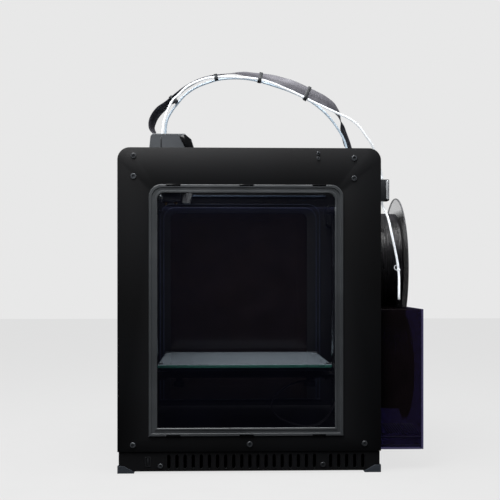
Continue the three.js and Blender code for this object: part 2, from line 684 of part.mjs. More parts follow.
// ---- print head ---------------------------------------------------------------------------
function headCarriage() {
  const body = block([-HEAD_HALF, -HEAD_HALF, HEAD_LOW], [HEAD_HALF, HEAD_HALF, HEAD_HIGH]);
  const boreX = cylinder(BORE_R, 3 * HEAD_HALF, ALONG_X).translate(0, 0, Y_ROD_Z);
  const boreY = cylinder(BORE_R, 3 * HEAD_HALF, ALONG_Y).translate(0, 0, X_ROD_Z);
  return cut(body, boreX, boreY);
}

// A moulded hood, open below: leaning left edge, flat top, two chamfers on the right.
function headCover() {
  const low = HEAD_HIGH + GAP;
  const outline = (inset) => polygon([
    [HEAD_COVER_LEFT + inset, inset ? low - 1 : low],
    [HEAD_COVER_LEFT + 4 + inset, HEAD_COVER_TOP - 4 - inset / 2],
    [HEAD_COVER_LEFT + 8 + inset / 2, HEAD_COVER_TOP - inset],
    [HEAD_COVER_RIGHT - 17 - inset / 2, HEAD_COVER_TOP - inset],
    [HEAD_COVER_RIGHT - 5 - inset, HEAD_COVER_TOP - 10 - inset / 2],
    [HEAD_COVER_RIGHT - inset, HEAD_COVER_TOP - 26],
    [HEAD_COVER_RIGHT - inset, inset ? low - 1 : low],
  ].reverse());
  const hood = pushed(outline(0), HEAD_COVER_D, DRAWN_XZ).translate(0, HEAD_COVER_D / 2, 0);
  const innerD = HEAD_COVER_D - 2 * HOOD_WALL;
  return cut(hood, pushed(outline(HOOD_WALL), innerD, DRAWN_XZ).translate(0, innerD / 2, 0));
}

const HEAD_COVER_LEFT = -38;
const HEAD_COVER_RIGHT = HEAD_COVER_LEFT + HEAD_COVER_W;
const HOOD_WALL = 2;
const HEATER_BLOCK = { halfW: 17, halfD: 9, low: 455 };

function hotend() {
  const { halfW, halfD, low } = HEATER_BLOCK;
  const nozzle = (x) => {
    const height = low - NOZZLE_Z + 1;
    const cone = new THREE.CylinderGeometry(4, 0.6, height, 12).applyMatrix4(ALONG_Z);
    return cone.translate(x, 0, NOZZLE_Z + height / 2);
  };
  const body = block([-halfW, -halfD, low], [halfW, halfD, HEAD_LOW - GAP]);
  return join(body, nozzle(-NOZZLE_SPACING / 2), nozzle(NOZZLE_SPACING / 2));
}

function fanDuct() {
  const inner = HEAD_HALF + GAP;
  const top = Y_ROD_Z - ROD_R - 2;
  const shape = polygon([
    [inner, HEAD_LOW - 2], [inner - 5, HEAD_LOW - 8], [inner - 5, DUCT_LOW + 2],
    [inner - 2, DUCT_LOW], [inner + 8, DUCT_LOW], [inner + 12, HEAD_LOW - 4],
    [inner + 12, top], [inner, top],
  ]);
  return pushed(shape, 30, DRAWN_XZ).translate(0, 15, 0);
}

function headFan() {
  const hub = cylinder(FAN_R * 0.4, 6, ALONG_Y, 16);
  const blades = [];
  for (let i = 0; i < 7; i += 1) {
    const blade = block([-0.6, -2.4, FAN_R * 0.3], [0.6, 2.4, FAN_R]);
    blade.rotateZ(0.6).rotateY((i * 2 * Math.PI) / 7);
    blades.push(blade);
  }
  return join(hub, ...blades);
}

function addHead() {
  const at = [HEAD_X, HEAD_Y, 0];
  add('head_carriage', headCarriage(), 'moulded', at);
  add('head_cover', headCover(), 'headGrey', at);
  add('hotend', hotend(), 'brass', at);
  add('fan_duct', fanDuct(), 'duct', at);
  const fanY = HEAD_Y - HEAD_HALF - GAP - 3;
  add('head_fan', headFan(), 'moulded', [HEAD_X, fanY, HEAD_LOW + FAN_R + 4]);
}

// ---- bed and its lift ---------------------------------------------------------------------
function bedFrame() {
  const low = BED_FRAME_TOP - BED_FRAME_T;
  const frontY = GLASS_Y - BED_FRAME_D / 2;
  const plate = block(
    [-BED_FRAME_W / 2, frontY, low], [BED_FRAME_W / 2, frontY + BED_FRAME_D, BED_FRAME_TOP],
  );
  const ears = [-1, 1].map((side) => mirrored(block(
    [BED_FRAME_W / 2 - 2, SCREW_Y - SHELF_EDGE - 2, EAR_LOW],
    [LIFT_X + SHELF_EDGE, GUIDE_Y + SHELF_EDGE + 2, BED_FRAME_TOP],
  ), side));
  const postH = HEATER_LOW - GAP - low;
  const postX = GLASS_W / 2 - BED_POST_IN;
  const postY = BED_FRAME_D / 2 - BED_POST_END;
  const post = cylinder(BED_POST_R, postH, ALONG_Z, 12).translate(MIDDLE_X, GLASS_Y, low + postH / 2);
  const posts = [-1, 1].flatMap(
    (sx) => [-1, 1].map((sy) => post.clone().translate(sx * postX, sy * postY, 0)),
  );
  const bores = [-1, 1].flatMap((sx) => [GUIDE_Y, SCREW_Y].map(
    (y) => cylinder(BORE_R, 3 * BED_FRAME_TOP).translate(sx * LIFT_X, y, BED_FRAME_TOP),
  ));
  return cut(join(plate, ...ears, ...posts), ...bores);
}

const HEATER_LOW = BED_TOP - GLASS_T - GAP - HEATER_T;

function chamberFloor() {
  const x = INNER_W - GAP;
  const y = INNER_D - GAP;
  const plate = block([-x, -y, FLOOR_Z - SHEET], [x, y, FLOOR_Z]);
  const holes = [-1, 1].map(
    (side) => cylinder(ROD_R + 2, 4 * SHEET).translate(side * LIFT_X, SCREW_Y, FLOOR_Z),
  );
  return cut(plate, ...holes);
}

function motor(length) {
  const h = MOTOR_W / 2;
  const c = h - MOTOR_CHAMFER;
  const outline = polygon([
    [-h, -c], [-c, -h], [c, -h], [h, -c], [h, c], [c, h], [-c, h], [-h, c],
  ]);
  return pushed(outline, length);
}

function addBedAndLift() {
  add('chamber_floor', chamberFloor(), 'galvanised');
  add('bed_frame', bedFrame(), 'coated');
  const heaterW = GLASS_W - 2 * HEATER_SET;
  const heaterD = GLASS_D - 2 * HEATER_SET;
  const heater = new THREE.BoxGeometry(heaterW, heaterD, HEATER_T);
  add('heated_bed', heater, 'aluminium', [MIDDLE_X, GLASS_Y, HEATER_LOW + HEATER_T / 2]);
  const glass = new THREE.BoxGeometry(GLASS_W, GLASS_D, GLASS_T);
  add('glass_plate', glass, 'glass', [MIDDLE_X, GLASS_Y, BED_TOP - GLASS_T / 2]);
  const motorLow = BASE_BOTTOM + SHEET + GAP;
  const screwLow = motorLow + LIFT_MOTOR_L + GAP;
  const top = SHELF_LOW + SHELF_T;
  for (const [name, side] of [['left', -1], ['right', 1]]) {
    const x = side * LIFT_X;
    add(`z_motor_${name}`, motor(LIFT_MOTOR_L), 'motor', [x, SCREW_Y, motorLow]);
    const screw = cylinder(ROD_R, top - screwLow, ALONG_Z, 12);
    add(`z_screw_${name}`, screw, 'steel', [x, SCREW_Y, (top + screwLow) / 2]);
    const rodLow = FLOOR_Z + GAP;
    const rod = cylinder(ROD_R, top - rodLow, ALONG_Z, 16);
    add(`z_rod_${name}`, rod, 'steel', [x, GUIDE_Y, (top + rodLow) / 2]);
  }
}

// The two drive motors hang in the rear corners, below the rods that they turn.
function addDriveMotors() {
  const cornerX = INNER_W - GAP;
  const cornerY = INNER_D - GAP;
  const yDrive = motor(DRIVE_MOTOR_L).applyMatrix4(DRAWN_YZ);
  const yAt = [-cornerX, cornerY - MOTOR_W / 2, DRIVE_MOTOR_Z];
  add('y_motor', yDrive, 'motor', yAt);
  const xDrive = motor(DRIVE_MOTOR_L).applyMatrix4(DRAWN_XZ);
  add('x_motor', xDrive, 'motor', [cornerX - MOTOR_W / 2, cornerY, DRIVE_MOTOR_Z]);
}

// ---- filament side ------------------------------------------------------------------------
// A spool's shell about the middle of its width: two flanges on a bored hub.
function spoolProfile(r, core, width) {
  const half = width / 2;
  const inside = half - FLANGE_T;
  return [
    [SPOOL_BORE_R, -half], [r, -half], [r, -inside], [core, -inside],
    [core, inside], [r, inside], [r, half], [SPOOL_BORE_R, half], [SPOOL_BORE_R, -half],
  ];
}

function boxOutline(inset) {
  const slant = inset * (Math.SQRT2 - 1);
  return polygon([
    [BOX_FRONT + inset, BOX_LOW + inset], [BOX_BACK - inset, BOX_LOW + inset],
    [BOX_BACK - inset, BOX_HIGH - BOX_CUT - slant],
    [BOX_BACK - BOX_CUT - slant, BOX_HIGH - inset], [BOX_FRONT + inset, BOX_HIGH - inset],
  ]);
}

// The dry box: a deep tray that opens to the right, with a boss for its spool and a tube
// fitting on top. Its back is the origin's plane.
function dryBox() {
  const depth = SPOOL_OUT - DOOR_T - 2 * GAP;
  const shell = cut(
    pushed(boxOutline(0), depth, DRAWN_YZ),
    pushed(boxOutline(BOX_WALL), depth, DRAWN_YZ).translate(BOX_WALL, 0, 0),
  );
  const boss = cylinder(AXLE_R, depth - 4, ALONG_X, 24).translate(depth / 2 - 2, SMALL_Y, SMALL_Z);
  const fitting = cylinder(FITTING_R, FITTING_L + 1, ALONG_Z, 12);
  fitting.translate(FITTING_OUT - GAP, FITTING_Y, BOX_HIGH + (FITTING_L - 1) / 2);
  return join(shell, boss, fitting);
}

function addFilamentSide() {
  const wall = HALF_W + GAP;
  const outer = HALF_W + SPOOL_OUT;
  const spoolX = outer - SPOOL_W / 2;
  const spool = turned(spoolProfile(SPOOL_R, SPOOL_HUB_R, SPOOL_W), ALONG_X, 40);
  add('upper_spool', spool, 'flange', [spoolX, SPOOL_Y, SPOOL_Z]);
  const wound = SPOOL_W / 2 - FLANGE_T - GAP;
  const core = SPOOL_HUB_R + GAP;
  const coil = turned([
    [core, -wound], [SPOOL_WOUND_R, -wound], [SPOOL_WOUND_R, wound], [core, wound], [core, -wound],
  ], ALONG_X, 40);
  add('upper_filament', coil, 'filament', [spoolX, SPOOL_Y, SPOOL_Z]);
  const axleL = SPOOL_OUT - 2 * GAP;
  const axle = cylinder(AXLE_R, axleL, ALONG_X, 24);
  add('spool_axle', axle, 'moulded', [wall + axleL / 2, SPOOL_Y, SPOOL_Z]);
  add('drybox_body', dryBox(), 'smoked', [wall, 0, 0]);
  const door = pushed(boxOutline(0), DOOR_T, DRAWN_YZ);
  add('drybox_door', door, 'smoked', [outer - DOOR_T, 0, 0]);
  const small = turned(spoolProfile(SMALL_R, SMALL_WOUND_R, SMALL_W), ALONG_X, 32);
  add('lower_spool', small, 'filament', [HALF_W + SMALL_OUT - SMALL_W / 2, SMALL_Y, SMALL_Z]);
  const guide = block(
    [0, -GUIDE_D / 2, GUIDE_LOW], [GUIDE_W - GAP, GUIDE_D / 2, GUIDE_HIGH],
  );
  add('filament_guide', guide, 'moulded', [wall, GUIDE_BLOCK_Y, 0]);
}

// ---- free tubes and ribbons ---------------------------------------------------------------
function addCables() {
  add('feed_tube', tubeAlong(FEED_ROUTE, TUBE_R, 22), 'ptfe');
  add('umbilical_tube_a', tubeAlong(TUBE_A_ROUTE, TUBE_R, 56), 'ptfe');
  add('umbilical_tube_b', tubeAlong(TUBE_B_ROUTE, TUBE_R, 52), 'ptfe');
  const umbilical = ribbonAlong(RIBBON_ROUTE, RIBBON_LEANS, RIBBON_W, RIBBON_T, 56);
  add('umbilical_ribbon', umbilical, 'ribbon');
  const flat = BED_RIBBON_ROUTE.map(() => 0);
  add('bed_ribbon', ribbonAlong(BED_RIBBON_ROUTE, flat, BED_RIBBON_W, RIBBON_T, 32), 'ribbon');
}

addCase();
addBase();
addRodsAndBelts();
addCrossCarriers();
addHead();
addBedAndLift();
addDriveMotors();
addFilamentSide();
addCables();

export default object;
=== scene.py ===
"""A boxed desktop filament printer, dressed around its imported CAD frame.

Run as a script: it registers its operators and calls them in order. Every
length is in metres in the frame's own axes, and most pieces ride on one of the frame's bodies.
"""
import math

import bmesh
import bpy
from mathutils import Matrix, Vector


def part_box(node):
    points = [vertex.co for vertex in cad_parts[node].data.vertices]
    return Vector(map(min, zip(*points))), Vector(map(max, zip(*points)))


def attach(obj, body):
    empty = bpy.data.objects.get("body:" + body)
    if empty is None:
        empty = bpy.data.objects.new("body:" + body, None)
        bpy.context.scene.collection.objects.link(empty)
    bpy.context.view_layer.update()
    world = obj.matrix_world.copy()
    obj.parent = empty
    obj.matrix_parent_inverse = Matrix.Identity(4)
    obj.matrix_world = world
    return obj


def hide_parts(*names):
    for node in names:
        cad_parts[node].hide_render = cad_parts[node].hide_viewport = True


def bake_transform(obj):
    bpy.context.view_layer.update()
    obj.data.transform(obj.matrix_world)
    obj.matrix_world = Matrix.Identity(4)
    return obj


bl_info = {
    "name": "Boxed filament printer",
    "version": (1, 0, 0),
    "blender": (4, 5, 0),
    "location": "View3D > Sidebar > Printer",
    "description": "Builds a boxed desktop filament printer around its frame",
    "category": "Object",
}

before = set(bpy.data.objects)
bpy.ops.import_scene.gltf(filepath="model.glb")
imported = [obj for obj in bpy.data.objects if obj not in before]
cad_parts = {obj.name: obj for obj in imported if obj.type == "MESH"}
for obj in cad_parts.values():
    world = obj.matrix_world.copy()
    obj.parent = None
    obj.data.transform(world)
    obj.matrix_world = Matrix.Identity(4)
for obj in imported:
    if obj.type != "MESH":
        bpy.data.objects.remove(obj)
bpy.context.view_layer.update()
MM = 0.001
X, Y, Z = 0, 1, 2

# ---- sizes read from the frame ----------------------------------------------------------------
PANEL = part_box("front_panel")
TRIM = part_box("front_cover_trim")
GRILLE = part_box("base_front_grille")
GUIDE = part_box("filament_guide")
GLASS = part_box("glass_plate")
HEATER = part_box("heated_bed")
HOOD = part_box("head_cover")
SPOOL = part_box("upper_spool")
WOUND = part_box("upper_filament")
SMALL_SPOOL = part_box("lower_spool")
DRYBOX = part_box("drybox_body")
CASE_X = (PANEL[0][X] + PANEL[1][X]) / 2  # the case's middle in the frame's X
PANEL_FACE = PANEL[0][Y]
PANEL_T = PANEL[1][Y] - PANEL[0][Y]

# ---- sizes of the dressing ----------------------------------------------------------------------
TRIM_W = 13.7 * MM
TOP_R = 20 * MM  # rounding of the case's and the trim's upper corners
COVER_LAP = 7.7 * MM  # how far a cover laps over the panel's hole
HOLE_R = 12.3 * MM
SLOT_LOW, SLOT_HIGH = 6.5 * MM, 30.5 * MM  # the base strip's upright vent slots
SLOT_W = 5.4 * MM
SLOT_FIRST, SLOT_PITCH = -131.6, 13.2
SLOTS = 25
SCREW_SLOT = 19  # a screw sits in this slot's place
SOCKET_X = -165.7
CORE_R = 40 * MM  # the spools' hub, with the bore inside it
BORE_R = 26 * MM


def case_point(x, y, z):
    """A point given in millimetres from the case's middle, in the frame."""
    return Vector((x * MM + CASE_X, y * MM, z * MM))


# ---- routes of the free tubes and ribbons -------------------------------------------------------
RIBBON_ROUTE = [
    (-162, -27, 571.6), (-163, -27, 575), (-172, -27, 589), (-170, -27, 604), (-160, -27, 620),
    (-141, -27, 636), (-123, -27, 654), (-106, -27, 667), (-79, -27, 680), (-30, -27, 690),
    (2, -27, 689), (57, -27, 677), (85, -27, 667), (117, -27, 652), (135, -27, 644),
    (152, -27, 634), (165, -27, 621), (171, -27, 607), (176, -27, 589), (183, -27, 565),
    (189, -27, 551), (191.8, -27, 539), (192, -27, 533.5),
]
RIBBON_LEANS = [
    -8, -8, -20, -26, -26, -18, -6, -2, 0, 12, 28, 52, 64, 66, 60, 50, 30, 12, -10, -18, -10, -3, 0,
]
TUBE_A_ROUTE = [
    (-152, -46, 571.6), (-151.9, -46, 577), (-149, -46, 599), (-142, -46, 620),
    (-134, -46, 636), (-124, -46, 646), (-107, -46, 662), (-85, -46, 673), (-61, -46, 679),
    (-12, -46, 679), (30, -46, 674), (73, -46, 658), (95, -46, 648), (117, -46, 637),
    (154, -46, 620), (190, -46, 603), (205, -45, 590), (216, -43, 575), (226, -40, 562),
    (232, -36, 551), (241, -28, 530), (247, -21, 512), (249.5, -18.2, 504),
    (249.7, -18, 498.6),
]
TUBE_B_ROUTE = [
    (-147, -36, 571.6), (-146.9, -36, 577), (-144, -36, 602), (-134, -36, 621),
    (-124, -36, 634), (-113, -36, 647), (-94, -36, 661), (-76, -36, 669), (-44, -36, 678),
    (4, -36, 678), (57, -36, 664), (85, -36, 654), (117, -36, 638), (140, -36, 620),
    (154, -36, 605), (165, -36, 590), (173, -36, 577), (179, -36, 564), (182.4, -36, 551),
    (184, -36, 540), (184, -36, 533.5),
]
FEED_ROUTE = [
    (249.7, -18, 458.4), (249.9, -18.3, 453), (257, -33, 430), (261.5, -56, 393),
    (265.5, -68, 364), (267.5, -79, 342), (267.5, -90, 322), (264, -110, 298),
    (262, -120, 286), (262, -121, 280.5),
]
BED_RIBBON_ROUTE = [
    (211, -96, 118), (185, -96, 117), (165, -96, 110), (150, -96, 92), (138, -96, 72),
    (122, -96, 61), (104, -96, 57.5), (72, -96, 65), (52, -96, 76), (42, -96, 92),
    (46, -96, 108), (60, -96, 122), (84, -96, 134), (104, -96, 138), (120, -96, 144),
]

RIBBON_W = 26 * MM
RIBBON_T = 1.2 * MM
BED_RIBBON_W = 20 * MM
FLANGE_T = 2.6 * MM
RIM = 2 * MM
CLIP_XS = (-136, -57, 24, 109)  # the line clips' places along the arch


# ---- colour and node helpers --------------------------------------------------------------------
def linear(hex_colour):
    """An sRGB hex colour as linear RGBA."""
    channels = [int(hex_colour[i : i + 2], 16) / 255 for i in (1, 3, 5)]
    curve = [c / 12.92 if c <= 0.04045 else ((c + 0.055) / 1.055) ** 2.4 for c in channels]
    return (*curve, 1.0)


def add_node(tree, kind, links=(), **settings):
    """Adds a node: `settings` name its sockets or properties, `links` are (socket, source)."""
    node = tree.nodes.new(kind)
    for name, value in settings.items():
        if hasattr(node, name):
            setattr(node, name, value)
        else:
            node.inputs[name.replace("_", " ")].default_value = value
    for socket, source in links:
        tree.links.new(source, node.inputs[socket])
    return node


def ramp(tree, source, stops):
    """A colour ramp from (place, hex) stops."""
    node = add_node(tree, "ShaderNodeValToRGB", [("Fac", source)])
    elements = node.color_ramp.elements
    while len(elements) < len(stops):
        elements.new(0.5)
    for element, (place, colour) in zip(elements, stops):
        element.position = place
        element.color = linear(colour)
    return node


def spread(tree, source, low, high):
    """A 0 to 1 value spread between two limits."""
    return add_node(
        tree, "ShaderNodeMapRange", [("Value", source)], To_Min=low, To_Max=high,
    ).outputs["Result"]


def noise(tree, size_mm, detail=3.0, stretch=(1, 1, 1)):
    """Noise on object coordinates whose lumps are about `size_mm` across."""
    place = add_node(tree, "ShaderNodeTexCoord").outputs["Object"]
    turned = add_node(tree, "ShaderNodeMapping", [("Vector", place)], Scale=stretch)
    return add_node(
        tree, "ShaderNodeTexNoise", [("Vector", turned.outputs["Vector"])],
        Scale=1 / (size_mm * MM), Detail=detail,
    ).outputs["Fac"]


def shader(name):
    """A new material: its node tree and its Principled shader."""
    material = bpy.data.materials.new(name)
    material.use_nodes = True
    return material, material.node_tree, material.node_tree.nodes["Principled BSDF"]


def relief(tree, bsdf, height, depth_mm, strength=0.3):
    """Bump on the shader from a height value."""
    bump = add_node(
        tree, "ShaderNodeBump", [("Height", height)], Strength=strength, Distance=depth_mm * MM,
    )
    tree.links.new(bump.outputs["Normal"], bsdf.inputs["Normal"])


def surface(name, dark, light, roughness, grain_mm, depth_mm=0.02, cloud_mm=60.0, **settings):
    """A solid finish: two close colours in soft clouds, a fine grain, uneven gloss."""
    material, tree, bsdf = shader(name)
    cloud = noise(tree, cloud_mm, 2.0)
    colour = ramp(tree, cloud, [(0.35, dark), (0.65, light)])
    tree.links.new(colour.outputs["Color"], bsdf.inputs["Base Color"])
    grain = noise(tree, grain_mm, 2.0)
    gloss = spread(tree, grain, roughness - 0.06, roughness + 0.06)
    tree.links.new(gloss, bsdf.inputs["Roughness"])
    relief(tree, bsdf, grain, depth_mm)
    for socket, value in settings.items():
        bsdf.inputs[socket.replace("_", " ")].default_value = value
    return material


# ---- finishes -----------------------------------------------------------------------------------
def clear_sheet(name, dark, light, roughness, opacity):
    """A see-through moulding: tinted body colour over straight-through transparency."""
    material, tree, bsdf = shader(name)
    tone = ramp(tree, noise(tree, 40.0, 2.0), [(0.3, dark), (0.7, light)])
    tree.links.new(tone.outputs["Color"], bsdf.inputs["Base Color"])
    gloss = spread(tree, noise(tree, 14.0, 3.0), roughness * 0.7, roughness * 1.4)
    tree.links.new(gloss, bsdf.inputs["Roughness"])
    bsdf.inputs["Alpha"].default_value = opacity
    return material


def tinted_sheet(name, dark, light, roughness, body, tint):
    """A sheet that tints what is seen through it, under a share of body colour and gloss."""
    material = clear_sheet(name, dark, light, roughness, 1.0)
    tree = material.node_tree
    through = add_node(tree, "ShaderNodeBsdfTransparent", Color=(*tint, 1.0))
    both = add_node(tree, "ShaderNodeMixShader", [
        (1, through.outputs["BSDF"]), (2, tree.nodes["Principled BSDF"].outputs["BSDF"])],
        Fac=body)
    tree.links.new(both.outputs["Shader"], tree.nodes["Material Output"].inputs["Surface"])
    return material


FINISHES = {}


def make_finishes():
    """Every finish of the printer, by the name of what it is made of."""
    make = FINISHES.__setitem__
    # Powder-coated sheet steel: near black, fine orange-peel, soft sheen that fades downwards.
    make("powder_coat", surface(
        "Powder-coated steel, near black", "#0c0c0e", "#121316", 0.5, 0.9, 0.03,
        cloud_mm=220.0, Specular_IOR_Level=0.35))
    # Moulded trim in satin grey plastic, a step lighter than the case.
    make("trim_grey", surface(
        "Moulded satin grey trim", "#3f4245", "#4b4e51", 0.45, 0.8, 0.015))
    # Zinc-plated sheet for the tray and chamber floor: cloudy and semi-bright.
    make("zinc_sheet", surface(
        "Zinc-plated steel sheet", "#6d7072", "#85898c", 0.42, 3.0, 0.01, Metallic=0.8))
    # Blue-grey moulded rubber feet, quite matt.
    make("foot_rubber", surface(
        "Moulded blue-grey rubber", "#343a42", "#434a53", 0.7, 0.7, 0.03))
    # Hard-chromed ground shaft: bright with faint rings round it.
    make("ground_shaft", surface(
        "Ground steel shaft", "#b4b8bc", "#cfd2d6", 0.2, 0.6, 0.004, Metallic=1.0))
    # Blackened socket screws: steel in a dark-to-mid grey, lighter than the panel round them.
    make("black_screw", surface(
        "Blackened steel screw", "#3b3d40", "#565a5f", 0.4, 0.5, 0.01, Metallic=0.3))
    # Reinforced rubber belt.
    make("belt_rubber", surface(
        "Moulded belt rubber", "#0e0e0f", "#1a1a1b", 0.75, 0.6, 0.03))
    # Black motor body with a sheen from its lacquer.
    make("motor_lacquer", surface(
        "Lacquered motor steel", "#131416", "#1d1f22", 0.4, 0.7, 0.01, Metallic=0.5))
    # Injection-moulded black parts with a spark-eroded texture.
    make("black_moulding", surface(
        "Moulded black nylon", "#1c1e21", "#2a2d31", 0.5, 0.6, 0.03))
    # The head's hood: satin mid-grey moulding.
    make("hood_grey", surface(
        "Moulded grey hood", "#474a4e", "#55595d", 0.42, 0.7, 0.02))
    # The glossy black strip and the edge along it.
    make("gloss_black", surface(
        "Polished black moulding", "#0a0a0b", "#141416", 0.12, 6.0, 0.003, Coat_Weight=0.6))
    # Light grey duct moulding.
    make("duct_grey", surface(
        "Moulded light grey duct", "#7d8084", "#94979b", 0.45, 0.8, 0.02))
    # Turned brass of the nozzles.
    make("turned_brass", surface(
        "Turned brass", "#9a7b3f", "#b9985a", 0.3, 0.4, 0.01, Metallic=1.0))
    # Bare machined aluminium of blocks and fittings.
    make("machined_aluminium", surface(
        "Machined aluminium", "#9fa3a8", "#bfc3c8", 0.3, 0.5, 0.008, Metallic=1.0))
    # The guide's corner pin, polished and plated; its pale colour is a painted highlight all the way
    # up.
    make("polished_pin", surface(
        "Nickel plating, painted highlight", "#b9bdc1", "#dadde0", 0.3, 1.0, 0.004, Metallic=0.35))
    # Pressed bead round the back window: the case's coating, coloured blue as a painted sheen in the
    # chamber.
    make("bluish_bead", surface(
        "Powder-coated bead, painted blue sheen", "#1b2130", "#262d3e", 0.45, 0.9, 0.02))
    # Anodised rail across the back, dull blue-grey.
    make("bluish_rail", surface(
        "Anodised aluminium rail", "#55647a", "#6d7d93", 0.4, 0.8, 0.01, Metallic=0.2))
    # Rolled heater plate below the glass.
    make("rolled_plate", surface(
        "Rolled aluminium plate", "#4a4f57", "#5d646d", 0.4, 1.2, 0.01, Metallic=0.8))
    # Milky tube with a painted glow, standing in for the light it lets through.
    make("milky_tube", surface(
        "Extruded milky fluoropolymer, painted glow", "#dfe5ea", "#f4f8fc", 0.4, 3.0, 0.004,
        Specular_IOR_Level=0.2, Emission_Color=linear("#eef3f8"), Emission_Strength=0.45))
    # The clearer, bluish tube, with a weaker painted glow.
    make("bluish_tube", surface(
        "Extruded bluish polymer, painted glow", "#9fb1bf", "#c9d8e3", 0.3, 3.0, 0.004,
        Specular_IOR_Level=0.3, Emission_Color=linear("#b8c8d8"), Emission_Strength=0.25))
    # Drawn and plated steel of the sockets and bearings.
    make("socket_steel", surface(
        "Drawn socket steel", "#a9adb1", "#c7cace", 0.25, 0.4, 0.005, Metallic=1.0))
    # Smoked acrylic of the covers: blue-black, mirror smooth, the chamber shows dimly through.
    make("smoked_acrylic", clear_sheet(
        "Cast smoked acrylic", "#090a14", "#0d0e1a", 0.05, 0.4))
    # The back's darker sheet: hardly anything shows through, with a brown cast.
    make("dark_acrylic", clear_sheet(
        "Cast dark acrylic", "#120d0d", "#1a1414", 0.08, 0.96))
    # Smoked box moulding: darker with a violet tint.
    make("box_smoke", tinted_sheet(
        "Moulded violet-black polycarbonate", "#1c1719", "#241c1f", 0.12, 0.45,
        (0.42, 0.4, 0.6)))
    # Ribs moulded in the box's front: the same plastic, coloured a touch lighter as a painted
    # highlight along their crests.
    make("box_ribs", surface(
        "Violet-black ribs, painted highlight", "#15131c", "#221e33", 0.3, 1.0, 0.01))
    # Spool flanges: thin clear plastic, faintly grey, with painted shade that makes them dark and
    # nearly opaque below the coil's top.
    make("clear_flange", clear_flange())
    # The flanges' edges trap light and look dark.
    make("flange_rim", clear_sheet(
        "Moulded grey flange rim", "#3a3b3f", "#54565b", 0.2, 0.55))
    make("build_glass", build_glass())
    make("black_windings", windings("Wound black filament, painted sheen", "#010102", "#302c31", 0.24))
    make("brown_windings", windings("Wound brown-black filament, painted sheen", "#2a1c19", "#4b352f", 0.4))
    make("flat_cable", flat_cable())
    # Matt white paper sweep under the printer.
    # It is partly self-lit, so that it meets the backdrop without an edge.
    make("paper", surface(
        "Matt paper sweep", "#404040", "#424242", 0.9, 2.0, 0.01, Specular_IOR_Level=0.0,
        Emission_Color=linear("#e8e8e8"), Emission_Strength=0.9))


def build_glass():
    """Coated float glass: blue-grey on top, green where light runs along its cut edge."""
    material, tree, bsdf = shader("Coated float glass")
    facing = add_node(tree, "ShaderNodeNewGeometry").outputs["Normal"]
    upward = add_node(tree, "ShaderNodeSeparateXYZ", [("Vector", facing)]).outputs["Z"]
    colour = ramp(tree, upward, [(0.3, "#5fb0a0"), (0.7, "#a3b0bb")])
    tree.links.new(colour.outputs["Color"], bsdf.inputs["Base Color"])
    smear = spread(tree, noise(tree, 35.0, 4.0), 0.08, 0.22)
    tree.links.new(smear, bsdf.inputs["Roughness"])
    bsdf.inputs["Coat Weight"].default_value = 0.5
    return material


def clear_flange():
    """Clear flange moulding, painted dark below the top of the coil as the shade of the windings
    behind it.
    """
    material, tree, bsdf = shader("Clear grey flange, painted shade below the coil")
    place = add_node(tree, "ShaderNodeTexCoord").outputs["Object"]
    height = add_node(tree, "ShaderNodeSeparateXYZ", [("Vector", place)]).outputs["Z"]
    # Painted shade: below the coil's top the flange turns dark and nearly opaque, standing in for the
    # shaded windings behind it.
    full, clear = WOUND[1][Z] - 12 * MM, WOUND[1][Z] + 4 * MM
    part = add_node(
        tree, "ShaderNodeMapRange", [("Value", height)], From_Min=full, From_Max=clear,
    ).outputs["Result"]
    colour = ramp(tree, part, [(0.0, "#151517"), (1.0, "#84868b")])
    tree.links.new(colour.outputs["Color"], bsdf.inputs["Base Color"])
    tree.links.new(spread(tree, part, 0.85, 0.25), bsdf.inputs["Alpha"])
    tree.links.new(spread(tree, noise(tree, 12.0), 0.1, 0.2), bsdf.inputs["Roughness"])
    return material


def windings(name, dark, light, roughness):
    """Strands wound round the X axis: streaks of about 2 mm, drawn wider than the filament, lighter
    along the strands as a painted sheen.
    """
    material, tree, bsdf = shader(name)
    strands = noise(tree, 2.2, 4.0, stretch=(1, 0.07, 0.07))
    tufts = noise(tree, 9.0, 4.0, stretch=(1, 0.6, 0.6))
    # Painted sheen: the lighter tone along the strands stands in for glints on the glossy filament.
    colour = ramp(tree, strands, [(0.46, dark), (0.68, light)])
    tree.links.new(colour.outputs["Color"], bsdf.inputs["Base Color"])
    tree.links.new(spread(tree, tufts, roughness - 0.1, roughness + 0.25), bsdf.inputs["Roughness"])
    relief(tree, bsdf, strands, 1.2, 0.9)
    return material


def flat_cable():
    """A flat jacket with fine ribs along it, dark, with a dull silvery sheen and painted shade in the
    grooves between the ribs.
    """
    material, tree, bsdf = shader("Extruded flat cable jacket, painted rib shade")
    place = add_node(tree, "ShaderNodeTexCoord").outputs["UV"]
    across = add_node(tree, "ShaderNodeSeparateXYZ", [("Vector", place)]).outputs["X"]
    turns = add_node(tree, "ShaderNodeMath", [(0, across)], operation="MULTIPLY")
    turns.inputs[1].default_value = 20 * 2 * math.pi
    ribs = add_node(
        tree, "ShaderNodeMath", [(0, turns.outputs[0])], operation="SINE",
    ).outputs[0]
    height = spread(tree, ribs, 0.0, 1.0)
    # Painted shade: darker in the grooves between the ribs and lighter on their crests.
    colour = ramp(tree, height, [(0.0, "#45444a"), (1.0, "#65646a")])
    tree.links.new(colour.outputs["Color"], bsdf.inputs["Base Color"])
    gloss = spread(tree, noise(tree, 8.0, 2.0), 0.36, 0.5)
    bsdf.inputs["Metallic"].default_value = 0.35
    tree.links.new(gloss, bsdf.inputs["Roughness"])
    relief(tree, bsdf, height, 0.3, 0.5)
    return material


